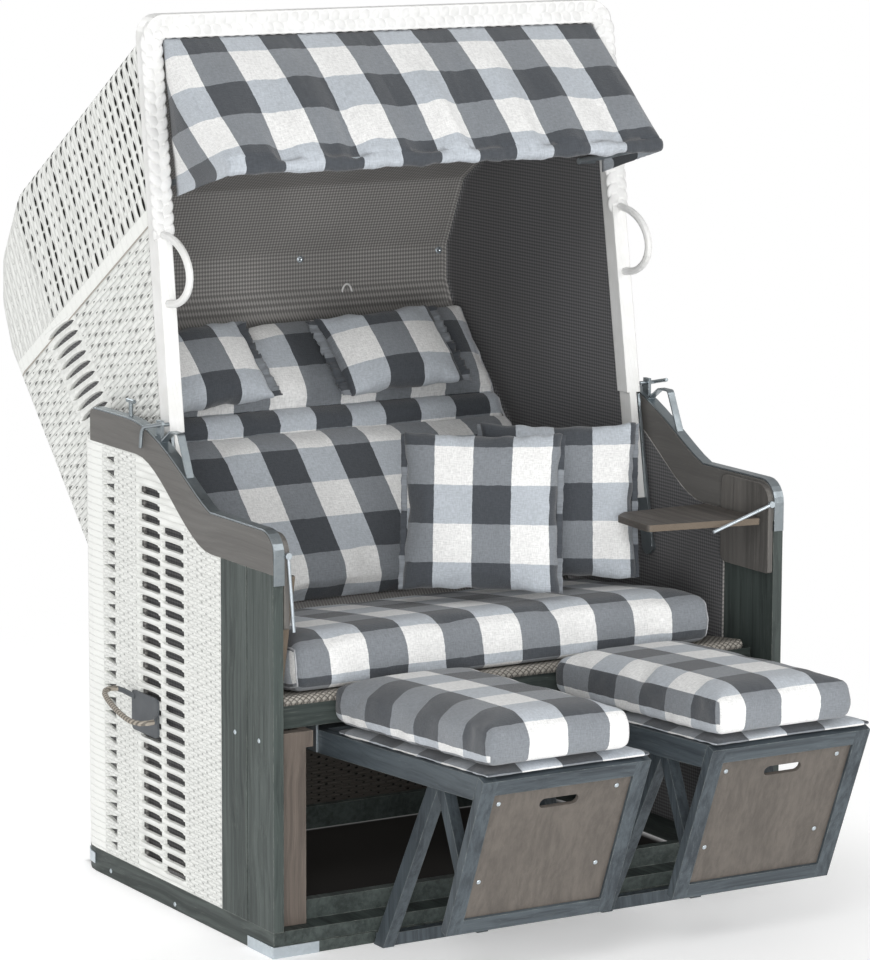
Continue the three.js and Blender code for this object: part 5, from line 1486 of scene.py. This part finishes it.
class CHAIR_OT_pillows(bpy.types.Operator):
    """Build the two throw pillows and the two neck pillows."""

    bl_idname = "chair.pillows"
    bl_label = "Pillows"

    def execute(self, context):
        """Builds the four pillows."""
        for name, place, yaw, pattern, seed in (
                ("front", (0.020, 0.216, 0.691), -36.0, (-0.0145, -0.021, 0.0705), 1.0),
                ("rear", (0.222, 0.278, 0.684), -29.5, (-0.0085, -0.036, 0.0700), 2.0)):
            matrix = placed(place, ("Z", yaw), ("X", 80))
            pillow(f"throw_pillow_{name}_soft", (0.296, 0.288, 0.094), 30, pattern, matrix, "base",
                   f"throw_pillow_{name}", seed, flange=0.005)
        for (name, _), place, drop, turn, line, seed in zip(SIDES, (-0.215, 0.208), (0.186, 0.180), (5, 3),
                                                            (-0.022, -0.042), (4.0, 5.0)):
            matrix = (placed(SLANT_TOP, ("X", SLANT_ANGLE)) @ Matrix.Translation((place, -drop, 0.1035))
                      @ Matrix.Rotation(math.radians(turn), 4, "Z"))
            pillow(f"neck_pillow_{name}_soft", (0.296, 0.186, 0.074), 26, (line, 0.042, PRINT_SQUARE), matrix, "hood",
                   f"neck_pillow_{name}", seed, flange=0.018)
        return {"FINISHED"}


class CHAIR_OT_footrests(bpy.types.Operator):
    """Build the footrest cushions and the cloth-covered boards under them."""

    bl_idname = "chair.footrests"
    bl_label = "Footrest Cushions"

    def execute(self, context):
        """Builds both sides."""
        for name, side in SIDES:
            deck = placed((side * DECK_FRONT[0], *DECK_FRONT[1:]), ("X", DECK_SLOPE))
            top = deck @ Matrix.Translation((-0.023, 0.246, 0.0573))
            line = 0.0165 if side < 0 else -0.0855
            block(f"footrest_cushion_{name}_soft", (0.280, 0.522, 0.080), 0.006, (16, 28, 5), (),
                  (line, -0.246, PRINT_SQUARE), top, f"footrest_{name}", f"footrest_cushion_{name}", seed=side + 11.0,
                  side_phase=0.27, cover=False)
            low = deck @ Matrix.Translation((0, 0.245, 0.0083))
            block(f"footrest_pad_{name}_soft", (0.320, 0.490, 0.016), 0.0, (16, 24, 2), (),
                  (-0.01, -0.250, PRINT_SQUARE), low, f"footrest_{name}", f"footrest_pad_{name}", seed=side + 15.0,
                  cover=False)
        return {"FINISHED"}


class CHAIR_OT_awning(bpy.types.Operator):
    """Build the checked awning with its side panels."""

    bl_idname = "chair.awning"
    bl_label = "Awning"

    def execute(self, context):
        """Builds the cloth as one sheet."""
        front_cells, side_cells, rows, hem_rows = 170, 16, 34, 9
        columns = [i / front_cells * 2 - 1 for i in range(front_cells + 1)]
        stations = ([(-1.0, 1 - i / side_cells) for i in range(side_cells)] + [(u, 0.0) for u in columns]
                    + [(1.0, (i + 1) / side_cells) for i in range(side_cells)])
        root, tip, rear = (Vector(point) for point in (AWNING_ROOT, AWNING_TIP, AWNING_REAR))
        run = tip - root
        normal = Vector((run.y, -run.x)).normalized()
        if normal.y < 0:
            normal = -normal
        points, maps = [], []
        column = rows + 1 + hem_rows
        for u, back in stations:
            for j in range(column):
                t = min(j / rows, 1.0)
                across = abs(u)
                sag = -0.014 * 4 * t * (1 - t) * (1 - across ** 4)
                fold = 0.0125 * t * noise.noise(Vector((u * 11.0, t * 1.4, 4.0)))
                fold += 0.006 * math.sin(u * 21.0 + 1.2 * t) * t
                fine = 0.0016 * noise.noise(Vector((u * 44.0, t * 4.0, 9.0)))
                flat = root + run * t + normal * (fold + fine + 0.004 - sag) * (1 - back)
                hem = max(j - rows, 0) / hem_rows
                if hem:
                    angle = math.radians(100 - 205 * hem)
                    loose = 0.0125 + 0.005 * noise.noise(Vector((u * 13.0, hem * 1.5, 7.0)))
                    loose += 0.0015 * noise.noise(Vector((u * 50.0, hem * 3.0, 3.0)))
                    round_bar = AWNING_BAR + Vector((-math.cos(angle), math.sin(angle))) * loose
                    flat = flat.lerp(round_bar, min(1.0, 3 * hem))
                behind = root + (rear - root) * t + Vector((0.0, -0.012 * hem))
                spot = flat.lerp(behind, back)
                bulge = 0.010 * math.sin(math.pi * back) * math.sin(math.pi * t)
                wrinkle = 0.0022 * noise.noise(Vector((back * 6.0, t * 5.0, u * 3.0))) * back
                x = u * AWNING_HALF + math.copysign(bulge + wrinkle, u) * (1 if back else 0)
                points.append(row(x, spot.x, spot.y))
                side_length = (rear - tip).length * t * back
                maps.append(((u * AWNING_HALF + math.copysign(side_length, u)) / PRINT_SQUARE + 1.30,
                             (run.length * t + 0.026 * hem) / PRINT_SQUARE + 0.42))
        faces, corners = [], []
        for i in range(len(stations) - 1):
            for j in range(column - 1):
                a = i * column + j
                quad = (a, a + 1, a + column + 1, a + column)
                faces.append(quad)
                corners.extend(maps[number] for number in quad)
        piece = new_piece("awning_sheet", mesh_from("awning_sheet", points, faces, {"cloth": corners}),
                          cloth_material("awning_check", 0.003))
        thick = piece.modifiers.new("Thickness", "SOLIDIFY")
        thick.thickness = 0.0014
        thick.offset = 0.0
        settle(piece)
        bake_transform(piece)
        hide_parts("awning_cloth")
        return {"FINISHED"}


class CHAIR_OT_fittings(bpy.types.Operator):
    """Add screws, lining buttons and the elastic loop."""

    bl_idname = "chair.fittings"
    bl_label = "Fittings"

    def execute(self, context):
        """Adds the small pieces."""
        for name, side in SIDES:
            for number, (y, z) in enumerate(BOARD_SCREWS):
                piece = screw(f"board_screw_{name}_{number}", (side * 0.525, y, z), (side, 0, 0), "base")
            matrix = placed((side * PANEL_TOP[0], *PANEL_TOP[1:]), ("X", PANEL_TILT))
            facing = matrix.to_3x3() @ Vector((0, -1, 0))
            for number, (x, down) in enumerate(PANEL_SCREWS):
                place = matrix @ Vector((x, 0.0048, -down))
                piece = screw(f"panel_screw_{name}_{number}", place, facing, f"panel_{name}")
        for number, x in enumerate(LINING_BUTTONS):
            piece = screw(f"lining_button_{number}", (x, 0.7396, 1.048), (0, -1, 0), "hood", radius=0.0075)
        white = braid_material("elastic_loop", (0.85, 0.85, 0.84, 1), (0.6, 0.6, 0.6, 1), 0.002)
        path = []
        for i in range(24):
            angle = math.pi * (2 * i / 24 - 0.5)
            path.append(Vector((0.238 + 0.0115 * math.cos(angle), 0.7360, 0.972 + 0.022 * math.sin(angle))))
        loop = sweep("elastic_loop", path, (0.0019, 0.0019), white, closed=True)
        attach(loop, "hood")
        return {"FINISHED"}


class CHAIR_OT_stage(bpy.types.Operator):
    """Set up the floor, the lights, the world and the camera."""

    bl_idname = "chair.stage"
    bl_label = "Stage"

    def execute(self, context):
        """Builds the stage."""
        stage = context.scene.chair_stage
        work = bmesh.new()
        bmesh.ops.create_grid(work, x_segments=4, y_segments=4, size=7.0)
        mesh = bpy.data.meshes.new("floor")
        work.to_mesh(mesh)
        work.free()

        def pale(tree):
            """Pale all over, except inside the base's footprint, where a painted shadow makes it dark and takes away
            its glow.
            """
            point = object_point(tree)
            cloud = tree.noise(point, 0.6, 1.0)
            away = tree.ramp(tree.vector("LENGTH", point), 0.7, 2.4)
            x, y, _ = tree.parts(point)
            deep = tree.absolute(tree.minus(y, 0.04))
            # Painted shadow: inside the base's footprint the floor is painted near black and gets no glow.
            clear_of_painted_shadow = tree.most(tree.ramp(tree.absolute(x), 0.48, 0.52), tree.ramp(deep, 0.35, 0.38))
            near = tree.mix(cloud, (0.80, 0.80, 0.80, 1), (0.82, 0.82, 0.82, 1))
            near = tree.mix(clear_of_painted_shadow, (0.045, 0.042, 0.040, 1), near)
            glow = tree.plus(0.32, tree.times(away, 0.68))
            return {"Base Color": tree.mix(away, near, (0.0, 0.0, 0.0, 1)), "Roughness": 0.9,
                    "Specular IOR Level": 0.0, "Emission Color": (1, 1, 1, 1),
                    "Emission Strength": tree.times(glow, clear_of_painted_shadow)}
        floor = new_piece("floor", mesh, finished("pale_floor", pale), Matrix.Translation((0, 0, -0.0005)))
        for name, place, aim, size, power in (
                ("key_light", (-3.4, -4.6, 4.6), (0, 0, 0.75), 2.6, stage.key),
                ("fill_light", (3.6, -4.4, 2.8), (0, 0, 0.6), 3.0, stage.fill),
                ("front_light", (-3.4, -6.0, 1.2), (0, 0.3, 0.95), 2.6, 2.6 * stage.fill),
                ("back_light", (-1.5, 4.0, 3.6), (0, 0, 0.8), 2.4, stage.fill)):
            data = bpy.data.lights.new(name, "AREA")
            data.shape = "DISK"
            data.size = size
            data.energy = power
            light = bpy.data.objects.new(name, data)
            context.scene.collection.objects.link(light)
            light.location = place
            light.rotation_euler = (Vector(aim) - Vector(place)).to_track_quat("-Z", "Y").to_euler()
        world = bpy.data.worlds.new("studio")
        context.scene.world = world
        world.use_nodes = True
        world.node_tree.nodes.clear()
        tree = Tree(world.node_tree)
        rays = tree.add("ShaderNodeLightPath")
        strength = tree.plus(tree.times(rays.outputs["Is Camera Ray"], 1.0 - stage.sky), stage.sky)
        background = tree.add("ShaderNodeBackground", {"Color": (1, 1, 1, 1), "Strength": strength})
        tree.put(background.outputs[0], tree.add("ShaderNodeOutputWorld").inputs[0])
        context.scene.view_settings.view_transform = "Standard"
        camera_data = bpy.data.cameras.new("camera")
        camera_data.lens = stage.lens
        camera_data.sensor_width = CAMERA_FILM
        camera_data.clip_start, camera_data.clip_end = 0.1, 60.0
        camera = bpy.data.objects.new("camera", camera_data)
        context.scene.collection.objects.link(camera)
        camera.location = CAMERA_PLACE
        camera.rotation_euler = [math.radians(angle) for angle in CAMERA_TURNS]
        context.scene.camera = camera
        return {"FINISHED"}


OPERATORS = (CHAIR_OT_frame, CHAIR_OT_hood, CHAIR_OT_sides, CHAIR_OT_seat, CHAIR_OT_pillows, CHAIR_OT_footrests,
             CHAIR_OT_awning, CHAIR_OT_fittings, CHAIR_OT_stage)


class CHAIR_PT_build(bpy.types.Panel):
    """Settings and steps of the beach chair."""

    bl_idname = "CHAIR_PT_build"
    bl_label = "Beach Chair"
    bl_space_type = "VIEW_3D"
    bl_region_type = "UI"
    bl_category = "Beach Chair"

    def draw(self, context):
        """Lists the settings, then one button for each step."""
        for name, kind in SETTINGS_HOLDERS:
            box = self.layout.box()
            for label in kind.__annotations__:
                box.prop(getattr(context.scene, name), label)
        for operator in OPERATORS:
            self.layout.operator(operator.bl_idname)


CLASSES = tuple(kind for _, kind in SETTINGS_HOLDERS) + OPERATORS + (CHAIR_PT_build,)


def register():
    """Registers the classes and the scene's settings."""
    for kind in CLASSES:
        bpy.utils.register_class(kind)
    for name, kind in SETTINGS_HOLDERS:
        setattr(bpy.types.Scene, name, bpy.props.PointerProperty(type=kind, name=name, description=kind.__doc__))


def unregister():
    """Removes what register added."""
    for name, _ in SETTINGS_HOLDERS:
        delattr(bpy.types.Scene, name)
    for kind in reversed(CLASSES):
        bpy.utils.unregister_class(kind)


def main():
    """Builds every piece in order."""
    register()
    for operator in OPERATORS:
        area, action = operator.bl_idname.split(".")
        getattr(getattr(bpy.ops, area), action)()
    bpy.context.view_layer.update()


if __name__ == "__main__":
    main()
